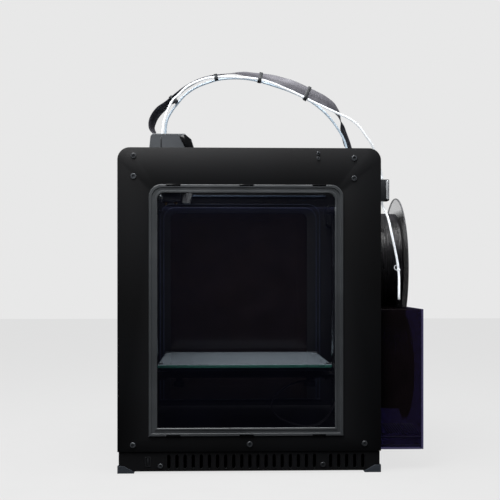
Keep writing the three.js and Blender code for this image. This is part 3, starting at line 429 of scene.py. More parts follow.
# ---- mesh helpers -------------------------------------------------------------------------------
def loose_piece(name, bm, finish, smooth_deg=35.0):
    """Turns a bmesh into a finished piece with outward faces, on no body yet."""
    bmesh.ops.remove_doubles(bm, verts=bm.verts, dist=1e-6)
    bmesh.ops.recalc_face_normals(bm, faces=bm.faces)
    limit = math.radians(smooth_deg)
    for face in bm.faces:
        face.smooth = True
    for edge in bm.edges:
        edge.smooth = len(edge.link_faces) == 2 and edge.calc_face_angle(0.0) < limit
    mesh = bpy.data.meshes.new(name)
    bm.to_mesh(mesh)
    bm.free()
    made = bpy.data.objects.new(name, mesh)
    bpy.context.scene.collection.objects.link(made)
    made.data.materials.append(FINISHES[finish])
    return made


def piece(name, bm, finish, body, smooth_deg=35.0):
    """A finished piece that rides on one of the frame's bodies."""
    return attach(loose_piece(name, bm, finish, smooth_deg), body)


def add_box(bm, low, high, bevel=0.0, segments=2):
    """A box between two corners, its edges rounded by `bevel`."""
    low, high = Vector(low), Vector(high)
    size = high - low
    place = Matrix.Translation((low + high) / 2) @ Matrix.Diagonal((*size, 1))
    made = bmesh.ops.create_cube(bm, size=1, matrix=place)["verts"]
    if bevel:
        edges = {edge for vert in made for edge in vert.link_edges}
        bmesh.ops.bevel(
            bm, geom=list(edges), offset=bevel, segments=segments, profile=0.5,
            affect="EDGES", material=-1,
        )


def towards(axis):
    """A turn that takes the Z axis to the given one."""
    return Vector((0, 0, 1)).rotation_difference(Vector(axis)).to_matrix().to_4x4()


def add_turned(bm, profile, centre, axis=(0, 0, 1), steps=48):
    """A turned shape: (radius, along) points spun about an axis through `centre`."""
    verts = [bm.verts.new((radius, 0, along)) for radius, along in profile]
    edges = [bm.edges.new(pair) for pair in zip(verts, verts[1:])]
    spun = bmesh.ops.spin(
        bm, geom=verts + edges, axis=(0, 0, 1), cent=(0, 0, 0), steps=steps,
        angle=2 * math.pi, use_merge=True,
    )
    found = {v for v in spun["geom_last"] if isinstance(v, bmesh.types.BMVert)} | set(verts)
    reached = set(found)
    while found:
        found = {e.other_vert(v) for v in found for e in v.link_edges} - reached
        reached |= found
    place = Matrix.Translation(Vector(centre)) @ towards(axis)
    bmesh.ops.transform(bm, matrix=place, verts=list(reached))
    bmesh.ops.remove_doubles(bm, verts=list(reached), dist=1e-7)


def rounded_outline(left, right, low, high, r_top, r_low, segments=14):
    """The (x, z) points round an upright rectangle with rounded corners."""
    bm = bmesh.new()
    corners = [(left, low, r_low), (right, low, r_low), (right, high, r_top), (left, high, r_top)]
    verts = [bm.verts.new((x, 0, z)) for x, z, _ in corners]
    bm.faces.new(verts)
    for radius in sorted({r_top, r_low}):
        chosen = [v for v, corner in zip(verts, corners) if v.is_valid and corner[2] == radius]
        if radius > 0:
            bmesh.ops.bevel(
                bm, geom=chosen, offset=radius, segments=segments, profile=0.5,
                affect="VERTICES", material=-1,
            )
    bm.faces.ensure_lookup_table()
    points = [(v.co.x, v.co.z) for v in bm.faces[0].verts]
    bm.free()
    return points


def add_plate(bm, outer, depth, front_y, hole=None, bevel=0.0):
    """An upright plate pushed back from `front_y`, with an optional hole and rounded arrises."""
    loops = []
    for outline in filter(None, (outer, hole)):
        verts = [bm.verts.new((x, front_y, z)) for x, z in outline]
        loops.append([bm.edges.new(pair) for pair in zip(verts, verts[1:] + verts[:1])])
    edges = [edge for loop in loops for edge in loop]
    flat = bmesh.ops.triangle_fill(bm, use_beauty=True, use_dissolve=False, edges=edges)
    faces = [f for f in flat["geom"] if isinstance(f, bmesh.types.BMFace)]
    pushed = bmesh.ops.extrude_face_region(bm, geom=faces, use_keep_orig=True)["geom"]
    moved = [v for v in pushed if isinstance(v, bmesh.types.BMVert)]
    bmesh.ops.translate(bm, vec=(0, depth, 0), verts=moved)
    if not bevel:
        return
    verts = {v for f in faces for v in f.verts} | set(moved)
    around = {e for v in verts for e in v.link_edges if len(e.link_faces) == 2}
    sharp = [e for e in around if e.calc_face_angle(0.0) > math.radians(60)]
    bmesh.ops.bevel(
        bm, geom=sharp, offset=bevel, segments=2, profile=0.5, affect="EDGES", material=-1,
        clamp_overlap=True,
    )


def dress(node, finish, bevel_mm=0.0):
    """Gives a CAD node its finish and, where wanted, softly rounded edges."""
    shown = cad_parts[node]
    shown.data.materials.clear()
    shown.data.materials.append(FINISHES[finish])
    if bevel_mm:
        weld = shown.modifiers.new("Merge", "WELD")
        weld.merge_threshold = 2e-5
        soft = shown.modifiers.new("Soft edges", "BEVEL")
        soft.width = bevel_mm * MM
        soft.segments = 2
        soft.limit_method = "ANGLE"
        soft.angle_limit = math.radians(38)
        soft.harden_normals = False
    return shown


def add_socket_screw(bm, centre, radius, height, axis=(0, -1, 0)):
    """A socket-head screw: rounded head with a six-sided recess, standing out along `axis`."""
    key = radius * 0.52
    rim = radius * 0.12
    add_turned(bm, [
        (0, 0), (radius, 0), (radius, height - rim), (radius - rim, height), (key, height),
    ], centre, axis, steps=28)
    place = Matrix.Translation(Vector(centre)) @ towards(axis)
    recess = bmesh.ops.create_cone(
        bm, cap_ends=True, segments=6, radius1=key, radius2=key, depth=height * 0.8,
        matrix=place @ Matrix.Translation((0, 0, height * 0.6)),
    )["verts"]
    top = max(
        {f for v in recess for f in v.link_faces},
        key=lambda f: (f.calc_center_median() - Vector(centre)).dot(Vector(axis)),
    )
    bmesh.ops.delete(bm, geom=[top], context="FACES_ONLY")
    inner = {f for v in recess if v.is_valid for f in v.link_faces}
    bmesh.ops.reverse_faces(bm, faces=list(inner))


# ---- case ---------------------------------------------------------------------------------------
PANEL_SCREWS = [(-189, 516), (-189, 483), (171, 513.5), (171, 480.5), (-190, 46), (0, 46.5), (188, 47)]
SMALL_SCREWS = [(112, 521), (112, 513)]
STRIP_SCREWS = [(-145.5, 11.5), (119.9, 12.5)]


def build_case(settings):
    """The case's sheet metal and its covers' trims; the screws that hold them are set apart."""
    left, right, low, high = PANEL[0][X], PANEL[1][X], PANEL[0][Z], PANEL[1][Z]
    for node, front in (("front_panel", PANEL_FACE), ("back_panel", -PANEL_FACE - PANEL_T)):
        cover = TRIM if node == "front_panel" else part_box("back_cover")
        hole = rounded_outline(
            cover[0][X] + COVER_LAP, cover[1][X] - COVER_LAP, cover[0][Z] + COVER_LAP,
            cover[1][Z] - COVER_LAP, HOLE_R, 0)
        bm = bmesh.new()
        add_plate(bm, rounded_outline(left, right, low, high, TOP_R, 0), PANEL_T, front, hole,
                  settings.edge_radius)
        shown = piece(f"{node}_sheet", bm, "powder_coat", "case")
        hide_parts(node)
    bm = bmesh.new()
    add_trim_moulding(bm)
    shown = piece("cover_trim_moulding", bm, "trim_grey", "front_cover")
    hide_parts("front_cover_trim")
    build_cover_tabs()
    build_chamber_back()
    for node in ("left_side_panel", "right_side_panel"):
        dress(node, "powder_coat", 0.5)
    dress("front_cover_pane", "smoked_acrylic")
    dress("back_cover", "dark_acrylic")
    dress("left_cover", "dark_acrylic", 0.5)
    dress("base_tray", "zinc_sheet", 0.4)
    dress("chamber_floor", "powder_coat", 0.4)
    dress("power_supply", "zinc_sheet", 0.6)
    dress("power_inlet", "black_moulding", 0.4)
    dress("power_switch", "gloss_black", 0.8)
    for end in ("front", "back"):
        for side in ("left", "right"):
            dress(f"foot_{end}_{side}", "foot_rubber", 0.6)


def add_trim_moulding(bm):
    """The cover's surround: a flat outer band, a sunk middle and an inner lip, mitred below."""
    deep = TRIM[1][Y] - TRIM[0][Y]
    profile = [
        (0, deep), (0, 0.9 * MM), (0.9 * MM, 0), (4.4 * MM, 0), (5.2 * MM, 1.1 * MM),
        (9.8 * MM, 1.1 * MM), (10.4 * MM, 0.3 * MM), (12.9 * MM, 0.3 * MM), (TRIM_W, 1.2 * MM),
        (TRIM_W, deep),
    ]
    loops = []
    for inset, back in profile:
        outline = rounded_outline(
            TRIM[0][X] + inset, TRIM[1][X] - inset, TRIM[0][Z] + inset, TRIM[1][Z] - inset,
            TOP_R - inset * 0.65, 0)
        loops.append([bm.verts.new((x, TRIM[0][Y] + back, z)) for x, z in outline])
    for one, other in zip(loops, loops[1:] + loops[:1]):
        for a, b, c, d in zip(one, one[1:] + one[:1], other[1:] + other[:1], other):
            bm.faces.new((a, b, c, d))


def build_chamber_back():
    """A rounded bead pressed round the back window, and the bluish rail across above it."""
    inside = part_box("back_panel")[0][Y]
    bm = bmesh.new()
    low, high = case_point(-165, 0, 66), case_point(152.4, 0, 464)
    for step in (0, 7 * MM):
        outer = rounded_outline(low.x - step, high.x + step, low.z, high.z + step, 26 * MM, 0)
        inner = rounded_outline(
            low.x - step + 2.4 * MM, high.x + step - 2.4 * MM, low.z + 2.4 * MM,
            high.z + step - 2.4 * MM, 23.6 * MM, 0)
        add_plate(bm, outer, 1.6 * MM, inside - 1.7 * MM, inner, 0.5 * MM)
    piece("back_window_bead", bm, "bluish_bead", "case")
    bm = bmesh.new()
    low, high = case_point(-113, 0, 485.5), case_point(170, 0, 489.5)
    add_box(bm, (low.x, inside - 6 * MM, low.z), (high.x, inside - 0.1 * MM, high.z), 0.6 * MM)
    piece("back_rail", bm, "bluish_rail", "case")


def build_cover_tabs():
    """The dark tabs that grip the cover, three along the top and three along the bottom."""
    bm = bmesh.new()
    face = TRIM[0][Y]
    for x0, x1 in ((-136, -112), (-17, 7), (102, 125)):
        for z in (TRIM[1][Z] - 3.2 * MM, TRIM[0][Z] - 0.6 * MM):
            low = case_point(x0, 0, 0)
            high = case_point(x1, 0, 0)
            add_box(bm, (low.x, face, z), (high.x, face + 2.3 * MM, z + 3.8 * MM), 0.5 * MM)
    piece("cover_grip_tabs", bm, "gloss_black", "front_cover")


def build_screws(settings):
    """Socket screws of the front panel and the base strip."""
    bm = bmesh.new()
    for x, z in PANEL_SCREWS:
        centre = case_point(x, 0, z)
        centre.y = PANEL_FACE - 0.05 * MM
        add_socket_screw(bm, centre, settings.screw_radius, settings.screw_height)
    for x, z in SMALL_SCREWS:
        centre = case_point(x, 0, z)
        centre.y = PANEL_FACE - 0.05 * MM
        add_socket_screw(bm, centre, settings.screw_radius * 0.62, settings.screw_height)
    piece("panel_screws", bm, "black_screw", "case")
    bm = bmesh.new()
    for x, z in STRIP_SCREWS:
        centre = case_point(x, 0, z)
        centre.y = GRILLE[0][Y] - 0.05 * MM
        add_socket_screw(bm, centre, 4.2 * MM, 1.4 * MM)
    piece("strip_screws", bm, "black_screw", "case")


def build_base_strip():
    """The slotted strip under the front panel, with a raised rim round each slot."""
    dress("base_front_grille", "powder_coat", 0.35)
    face = GRILLE[0][Y]
    lip = 0.9 * MM
    rims = bmesh.new()
    for i in range(SLOTS):
        if i == SCREW_SLOT:
            continue
        x = case_point(SLOT_FIRST + SLOT_PITCH * i, 0, 0).x
        left, right = x - SLOT_W / 2, x + SLOT_W / 2
        outer = rounded_outline(
            left - lip, right + lip, SLOT_LOW - lip, SLOT_HIGH + lip, 3.4 * MM, 3.4 * MM, 4)
        inner = rounded_outline(left, right, SLOT_LOW, SLOT_HIGH, 2.6 * MM, 2.6 * MM, 4)
        add_plate(rims, outer, 1.2 * MM, face - 0.5 * MM, inner)
    piece("vent_slot_rims", rims, "powder_coat", "case")
    bm = bmesh.new()
    x = case_point(SOCKET_X, 0, 0).x
    outer = rounded_outline(
        x - 4.5 * MM, x + 4.5 * MM, 10.7 * MM, 26.5 * MM, 0.8 * MM, 0.8 * MM, 3)
    inner = rounded_outline(
        x - 3.6 * MM, x + 3.6 * MM, 11.6 * MM, 25.6 * MM, 0.4 * MM, 0.4 * MM, 3)
    add_plate(bm, outer, 2.2 * MM, face - 0.6 * MM, inner)
    piece("data_socket_shell", bm, "socket_steel", "case")
    bm = bmesh.new()
    add_box(bm, (x - 1 * MM, face - 0.3 * MM, 12.6 * MM), (x + 1 * MM, face + 1 * MM, 24.6 * MM),
            0.2 * MM)
    piece("data_socket_tongue", bm, "black_moulding", "case")


# ---- free tubes and ribbons ---------------------------------------------------------------------
def smooth_route(points, step=0.004):
    """Points about `step` apart on a smooth line through the given ones, ends included."""
    ends = [2 * points[0] - points[1], *points, 2 * points[-1] - points[-2]]
    made = []
    for p0, p1, p2, p3 in zip(ends, ends[1:], ends[2:], ends[3:]):
        t1 = max((p1 - p0).length, 1e-6) ** 0.5
        t2 = t1 + max((p2 - p1).length, 1e-6) ** 0.5
        t3 = t2 + max((p3 - p2).length, 1e-6) ** 0.5
        count = max(2, round((p2 - p1).length / step))
        for i in range(count):
            t = t1 + (t2 - t1) * i / count
            a1 = p0.lerp(p1, t / t1)
            a2 = p1.lerp(p2, (t - t1) / (t2 - t1))
            a3 = p2.lerp(p3, (t - t2) / (t3 - t2))
            b1 = a1.lerp(a2, t / t2)
            b2 = a2.lerp(a3, (t - t1) / (t3 - t1))
            made.append(b1.lerp(b2, (t - t1) / (t2 - t1)))
    return [*made, points[-1]]


def leans_along(route, points, leans):
    """How far the ribbon leans at each smoothed point, in degrees, from the values on its route."""
    marks = [min(range(len(points)), key=lambda i: (points[i] - p).length) for p in route]
    found = []
    for i in range(len(points)):
        after = next((n for n, mark in enumerate(marks) if mark >= i), len(marks) - 1)
        before = max(after - 1, 0)
        span = max(marks[after] - marks[before], 1)
        part = min(max((i - marks[before]) / span, 0), 1)
        part = part * part * (3 - 2 * part)
        found.append(leans[before] + (leans[after] - leans[before]) * part)
    return found


def swept(name, section, points, leans):
    """A section of (across, up) points swept along a path; its map runs across, then along."""
    bm = bmesh.new()
    ring = [bm.verts.new((across, up, 0)) for across, up in section]
    edges = [bm.edges.new(pair) for pair in zip(ring, ring[1:] + ring[:1])]
    last = Matrix.Identity(4)
    run = 0.0
    rings = []
    for i, (here, lean) in enumerate(zip(points, leans)):
        along = (points[min(i + 1, len(points) - 1)] - points[max(i - 1, 0)]).normalized()
        flat = Vector((0, 1, 0))
        across = (flat - along * flat.dot(along)).normalized()
        across.rotate(Matrix.Rotation(math.radians(lean), 3, along))
        up = along.cross(across)
        place = Matrix((across, up, along)).transposed().to_4x4()
        place.translation = here
        if i:
            grown = bmesh.ops.extrude_edge_only(bm, edges=edges)["geom"]
            ring = [v for v in grown if isinstance(v, bmesh.types.BMVert)]
            edges = [e for e in grown if isinstance(e, bmesh.types.BMEdge)
                     and e.verts[0] in ring and e.verts[1] in ring]
            run += (here - points[i - 1]).length
        bmesh.ops.transform(bm, matrix=place @ last.inverted(), verts=ring)
        last = place
        rings.append((list(ring), run, place.inverted()))
    bmesh.ops.holes_fill(bm, edges=[e for e in bm.edges if e.is_boundary], sides=0)
    laid = bm.loops.layers.uv.new("Lengthwise")
    where = {v: ((back @ v.co).x, run) for ring, run, back in rings for v in ring}
    for face in bm.faces:
        for loop in face.loops:
            loop[laid].uv = where[loop.vert]
    bmesh.ops.recalc_face_normals(bm, faces=bm.faces)
    for face in bm.faces:
        face.smooth = len(section) > 4 and len(face.verts) == 4
    mesh = bpy.data.meshes.new(name)
    bm.to_mesh(mesh)
    bm.free()
    made = bpy.data.objects.new(name, mesh)
    bpy.context.scene.collection.objects.link(made)
    return made


def round_section(radius, sides=20):
    """The section of a tube."""
    turns = [2 * math.pi * i / sides for i in range(sides)]
    return [(radius * math.cos(turn), radius * math.sin(turn)) for turn in turns]


def flat_section(width, thickness):
    """The section of a flat cable, its long edges rounded."""
    w, t = width / 2, thickness / 2
    return [(-w, 0), (-w + t * 0.4, -t * 0.8), (-w + t, -t), (-w / 3, -t), (w / 3, -t), (w - t, -t),
            (w - t * 0.4, -t * 0.8), (w, 0), (w - t * 0.4, t * 0.8), (w - t, t), (w / 3, t),
            (-w / 3, t), (-w + t, t), (-w + t * 0.4, t * 0.8)]


def lay_cord(name, points, leans, section, finish):
    """Sweeps one cord; it starts and ends on the printer or on its other half."""
    made = swept(name, section, points, leans)
    made.data.materials.append(FINISHES[finish])
    return made


def lay_umbilical(name, route, leans, section, finish):
    """A line from the wall to the head in two halves, which meet at the top of its arch.
    """
    points = smooth_route(route)
    turned = leans_along(route, points, leans)
    top = max(range(len(points)), key=lambda i: points[i].z)
    wall = (points[top:][::-1], [-lean for lean in turned[top:]][::-1])
    head = (points[: top + 1][::-1], [-lean for lean in turned[: top + 1]][::-1])
    for half, (line, lean) in (("wall", wall), ("head", head)):
        made = lay_cord(
            f"{name}_{half}_half", line, lean, section, finish)
        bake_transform(made)
        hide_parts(name)


def build_cords(settings):
    """The arch of tubes and ribbon over the case, the filament's feed tube and the bed's ribbon."""
    tube = round_section(settings.tube_width / 2)
    for node, route, finish in (
        ("umbilical_tube_a", TUBE_A_ROUTE, "milky_tube"),
        ("umbilical_tube_b", TUBE_B_ROUTE, "bluish_tube"),
    ):
        route = [case_point(*p) for p in route]
        lay_umbilical(
            node, route, [0] * len(route), tube, finish)
    jacket = flat_section(RIBBON_W, RIBBON_T)
    route = [case_point(*p) for p in RIBBON_ROUTE]
    lay_umbilical(
        "umbilical_ribbon", route, RIBBON_LEANS, jacket, "flat_cable")
    route = [case_point(*p) for p in FEED_ROUTE]
    points = smooth_route(route)
    made = lay_cord(
        "feed_tube_line", points, [0] * len(points), tube, "milky_tube")
    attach(made, "case")
    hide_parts("feed_tube")
    points = smooth_route([case_point(*p) for p in BED_RIBBON_ROUTE])
    made = lay_cord(
        "bed_ribbon_line", points, [0] * len(points), flat_section(BED_RIBBON_W, RIBBON_T),
        "flat_cable")
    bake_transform(made)
    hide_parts("bed_ribbon")


# ---- chamber ------------------------------------------------------------------------------------
def build_chamber(settings):
    """Rods, belts, motors, the bed and its clips."""
    for name in ("x_rod_front", "x_rod_rear", "y_rod_left", "y_rod_right",
                 "cross_rod_x", "cross_rod_y", "z_rod_left", "z_rod_right"):
        dress(name, "ground_shaft")
    for name in ("x_belt_front", "x_belt_rear", "y_belt_left", "y_belt_right"):
        dress(name, "belt_rubber")
    for name in ("x_motor", "y_motor", "z_motor_left", "z_motor_right"):
        dress(name, "motor_lacquer", 0.6)
    for name in ("y_slider_left", "y_slider_right", "x_slider_front", "x_slider_rear"):
        dress(name, "black_moulding", 0.8)
    dress("bed_frame", "powder_coat", 0.4)
    dress("heated_bed", "rolled_plate", 0.5)
    dress("glass_plate", "build_glass", 0.4)
    build_screw_threads(settings)
    build_bed_clips()
    build_motor_belt()
    build_bearings()


def build_screw_threads(settings):
    """The two lift screws: a bar with a trapezoidal thread wound round it."""
    for side in ("left", "right"):
        low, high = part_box(f"z_screw_{side}")
        centre = (low + high) / 2
        radius = (high.x - low.x) / 2
        bm = bmesh.new()
        pitch = settings.screw_lead
        section = [(radius * 0.78, 0), (radius, 0.15), (radius, 0.45), (radius * 0.78, 0.6),
                   (radius * 0.78, 1.0)]
        verts = [bm.verts.new((r, 0, part * pitch)) for r, part in section]
        edges = [bm.edges.new(pair) for pair in zip(verts, verts[1:])]
        tall = high.z - low.z
        turns = int((tall - 2 * MM) / pitch) - 1
        bmesh.ops.spin(
            bm, geom=verts + edges, axis=(0, 0, 1), cent=(0, 0, 0), steps=16 * turns,
            angle=2 * math.pi * turns, dvec=(0, 0, pitch / 16),
        )
        bmesh.ops.remove_doubles(bm, verts=bm.verts, dist=2e-6)
        bmesh.ops.holes_fill(bm, edges=[e for e in bm.edges if e.is_boundary], sides=0)
        bmesh.ops.translate(bm, vec=(centre.x, centre.y, low.z + 1 * MM), verts=bm.verts)
        add_turned(bm, [(0, 0), (radius * 0.76, 0), (radius * 0.76, tall), (0, tall)],
                   (centre.x, centre.y, low.z), steps=20)
        made = piece(f"lift_screw_{side}", bm, "ground_shaft", f"{side}_screw")
        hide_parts(f"z_screw_{side}")


def build_bed_clips():
    """Sprung clips that hold the glass at its corners, and the knobs under the bed."""
    bm = bmesh.new()
    under, over = HEATER[0][Z], GLASS[1][Z]
    foot, upright, lip = (
        (-2, 14, under - 1.2 * MM, under - 0.2 * MM),
        (-2, -0.4, under - 1.2 * MM, over + 1.2 * MM),
        (-2, 9, over + 0.2 * MM, over + 1.3 * MM),
    )
    for x, into in ((GLASS[0][X], 1), (GLASS[1][X], -1)):
        for y, back in ((GLASS[0][Y], 1), (GLASS[1][Y], -1)):
            near, far = sorted((y + back * 6 * MM, y + back * 26 * MM))
            for outer, inner, low, high in (foot, upright, lip):
                left, right = sorted((x + into * outer * MM, x + into * inner * MM))
                add_box(bm, (left, near, low), (right, far, high), 0.3 * MM)
    piece("glass_clips", bm, "machined_aluminium", "bed")
    bm = bmesh.new()
    for x in (-120, 109):
        for y in (-97.5, 122.5):
            add_turned(bm, [(0, 0), (9 * MM, 0), (10 * MM, 1 * MM), (10 * MM, 9 * MM),
                            (6 * MM, 10 * MM), (6 * MM, 16 * MM), (0, 16 * MM)],
                       case_point(x, y, 128), steps=28)
    piece("levelling_knobs", bm, "black_moulding", "bed")


def build_motor_belt():
    """A drive motor's pulley and its short belt up to the rod that it turns."""
    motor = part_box("x_motor")
    axle, driven = (
        Vector(((low.x + high.x) / 2, (low.z + high.z) / 2))
        for low, high in (motor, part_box("y_rod_right")))
    front = motor[0][Y]
    belt = bmesh.new()
    add_plate(belt, belt_outline(axle, driven, 7 * MM), 5.4 * MM, front - 8.8 * MM,
              belt_outline(axle, driven, 6.1 * MM))
    piece("x_motor_belt", belt, "belt_rubber", "case")
    bm = bmesh.new()
    add_turned(bm, [(0, 0), (7.5 * MM, 0), (7.5 * MM, 1 * MM), (6 * MM, 1 * MM), (6 * MM, 7 * MM),
                    (7.5 * MM, 7 * MM), (7.5 * MM, 8 * MM), (0, 8 * MM)],
               (axle.x, front - 10 * MM, axle.y), (0, 1, 0), steps=28)
    piece("x_motor_pulley", bm, "machined_aluminium", "case")


def belt_outline(low, high, radius):
    """The (x, z) points of a loop round two pulleys of one radius."""
    way = (high - low).normalized()
    side = Vector((-way.y, way.x))
    points = []
    for centre, reach in ((high, radius), (low, -radius)):
        for i in range(13):
            turn = math.pi * i / 12
            points.append(tuple(centre + reach * (side * math.cos(turn) + way * math.sin(turn))))
    return points


def build_bearings():
    """Flanged bearings that carry the driven rods at the walls."""
    bm = bmesh.new()
    ring = [(4.4 * MM, 0), (12 * MM, 0), (12 * MM, 2 * MM), (9 * MM, 2 * MM), (9 * MM, 6 * MM),
            (4.4 * MM, 6 * MM), (4.4 * MM, 0)]
    for name, axis in (
        ("x_rod_front", X), ("x_rod_rear", X), ("y_rod_left", Y), ("y_rod_right", Y),
    ):
        low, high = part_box(name)
        centre = (low + high) / 2
        for end, sign in ((low[axis], 1), (high[axis], -1)):
            place = centre.copy()
            place[axis] = end - sign * 0.3 * MM
            way = [0, 0, 0]
            way[axis] = sign
            add_turned(bm, ring, place, way, steps=28)
    piece("rod_bearings", bm, "socket_steel", "case")


# ---- print head ---------------------------------------------------------------------------------
def build_head():
    """The hood with its glossy stripe, the carriage, hot end, duct and fan."""
    dress("head_cover", "hood_grey", 1.2)
    dress("head_carriage", "black_moulding", 0.8)
    dress("fan_duct", "duct_grey", 0.7)
    dress("hotend", "machined_aluminium", 0.4)
    dress("head_fan", "black_moulding", 0.2)
    front = HOOD[0][Y]
    right, top = HOOD[1][X], HOOD[1][Z]
    bm = bmesh.new()
    outline = [
        (right - inward * MM, top - down * MM)
        for inward, down in ((26, 5), (16, 1.4), (6.5, 9.5), (1.6, 25), (1.6, 40), (9, 40))
    ]
    add_plate(bm, outline, 1.2 * MM, front - 0.7 * MM, bevel=0.3 * MM)
    piece("hood_gloss_strip", bm, "gloss_black", "print_head")
    bm = bmesh.new()
    slit = case_point(-152, 0, 0).x
    add_box(bm, (slit, front - 0.25 * MM, top - 34 * MM),
            (slit + 1.6 * MM, front + 0.5 * MM, top - 6 * MM), 0.2 * MM)
    piece("hood_slit", bm, "gloss_black", "print_head")
    bm = bmesh.new()
    low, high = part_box("hotend")
    centre = (low + high) / 2
    for dx in (-9 * MM, 9 * MM):
        add_turned(bm, [
            (0, 0), (0.5 * MM, 0), (2.2 * MM, 2.6 * MM), (4.2 * MM, 3.2 * MM), (4.2 * MM, 6.4 * MM),
            (3.2 * MM, 6.6 * MM), (3.2 * MM, 9 * MM), (0, 9 * MM),
        ], (centre.x + dx, centre.y, low.z), steps=24)
    piece("brass_nozzles", bm, "turned_brass", "print_head")
    bm = bmesh.new()
    at = case_point(-153, -88, 452)
    add_turned(bm, [
        (0, 0), (3.2 * MM, 0), (3.2 * MM, 3 * MM), (5.5 * MM, 3.4 * MM), (5.5 * MM, 9 * MM),
        (4 * MM, 10 * MM), (4 * MM, 18 * MM), (0, 18 * MM),
    ], at, steps=32)
    piece("probe_fitting", bm, "machined_aluminium", "print_head")


# ---- filament side ------------------------------------------------------------------------------
def spool_shell(bm, low, high, core, bore):
    """Two thin flanges on a bored hub, spun about the spool's axis, without their rims."""
    radius = (high.y - low.y) / 2 - RIM
    width = high.x - low.x
    t = FLANGE_T
    centre = (low + high) / 2
    add_turned(bm, [
        (bore, 0), (bore + 6 * MM, 0), (radius, 0), (radius, t), (core, t),
        (core, width - t), (radius, width - t), (radius, width), (bore + 6 * MM, width),
        (bore, width), (bore, 0),
    ], (low.x, centre.y, centre.z), (1, 0, 0), steps=96)


def spool_rims(bm, low, high):
    """The rounded rims of both flanges."""
    radius = (high.y - low.y) / 2
    centre = (low + high) / 2
    r = 0.8 * MM
    for x in (low.x, high.x - FLANGE_T):
        add_turned(bm, [
            (radius - RIM, 0), (radius - r, 0), (radius - 0.2 * r, 0.3 * r), (radius, r),
            (radius, FLANGE_T - r), (radius - 0.2 * r, FLANGE_T - 0.3 * r), (radius - r, FLANGE_T),
            (radius - RIM, FLANGE_T), (radius - RIM, 0),
        ], (x, centre.y, centre.z), (1, 0, 0), steps=96)


def coil(bm, low, high, core):
    """Wound filament: a ring whose outside is crowned and ridged by its strands."""
    radius = (high.y - low.y) / 2
    width = high.x - low.x
    turns = round(width / (3.4 * MM))
    crown = [(radius - 1.2 * MM, 0)]
    for i in range(2 * turns):
        part = (i + 0.5) / (2 * turns)
        dip = 0.9 * MM * (i % 2) + 1.1 * MM * (2 * part - 1) ** 2
        crown.append((radius - dip, part * width))
    crown.append((radius - 1.2 * MM, width))
    centre = (low + high) / 2
    add_turned(
        bm, [(core, 0), *crown, (core, width), (core, 0)], (low.x, centre.y, centre.z), (1, 0, 0),
        steps=96)


def build_spools():
    """The large spool on its axle, and the small one inside the dry box."""
    bm = bmesh.new()
    spool_shell(bm, *SPOOL, CORE_R, BORE_R)
    made = piece("large_spool_shell", bm, "clear_flange", "large_spool")
    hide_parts("upper_spool")
    bm = bmesh.new()
    spool_rims(bm, *SPOOL)
    piece("large_spool_rims", bm, "flange_rim", "large_spool")
    bm = bmesh.new()
    coil(bm, *WOUND, CORE_R + 0.4 * MM)
    made = piece(
        "large_spool_windings", bm, "black_windings", "large_spool", 60)
    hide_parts("upper_filament")
    bm = bmesh.new()
    spool_shell(bm, *SMALL_SPOOL, CORE_R, BORE_R)
    spool_rims(bm, *SMALL_SPOOL)
    piece("small_spool_shell", bm, "gloss_black", "small_spool")
    bm = bmesh.new()
    middle = (SMALL_SPOOL[0] + SMALL_SPOOL[1]) / 2
    half = Vector((middle.x - SMALL_SPOOL[0].x - FLANGE_T - 0.3 * MM, 75 * MM, 75 * MM))
    coil(bm, middle - half, middle + half, CORE_R + 0.4 * MM)
    made = piece(
        "small_spool_windings", bm, "brown_windings", "small_spool", 60)
    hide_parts("lower_spool")
    dress("spool_axle", "black_moulding", 1.2)


def build_drybox():
    """The smoked box, its door, tube fitting and vents."""
    dress("drybox_body", "box_smoke", 0.8)
    dress("drybox_door", "box_smoke", 0.8)
    end = case_point(*FEED_ROUTE[-1])
    bm = bmesh.new()
    add_turned(bm, [
        (2.3 * MM, 0.2 * MM), (3.6 * MM, 0), (3.6 * MM, -2 * MM), (5.4 * MM, -2.4 * MM),
        (5.4 * MM, -7 * MM), (4.6 * MM, -7.4 * MM), (4.6 * MM, -8.4 * MM), (6.4 * MM, -8.8 * MM),
        (6.4 * MM, -13.4 * MM), (2.3 * MM, -13.4 * MM), (2.3 * MM, 0.2 * MM),
    ], end, steps=32)
    piece("box_tube_fitting", bm, "gloss_black", "case")
    bm = bmesh.new()
    low, high = DRYBOX
    face = low.y - 0.35 * MM
    for first, count in ((low.x + 9 * MM, 8), (high.x - 27 * MM, 5)):
        for i in range(count):
            middle = (first + i * 4 * MM, face, 0.068)
            place = Matrix.Translation(middle) @ Matrix.Rotation(math.radians(-38), 4, "Y")
            add_block(bm, (1.5 * MM, 1.2 * MM, 22 * MM), place, 0.3 * MM)
    for z in (0.0525, 0.0385):
        add_box(bm, (low.x + 3 * MM, face - 0.5 * MM, z),
                (high.x - 2 * MM, face + 0.7 * MM, z + 2 * MM), 0.3 * MM)
    piece("box_vent_ribs", bm, "box_ribs", "case")
    build_tube_tie()


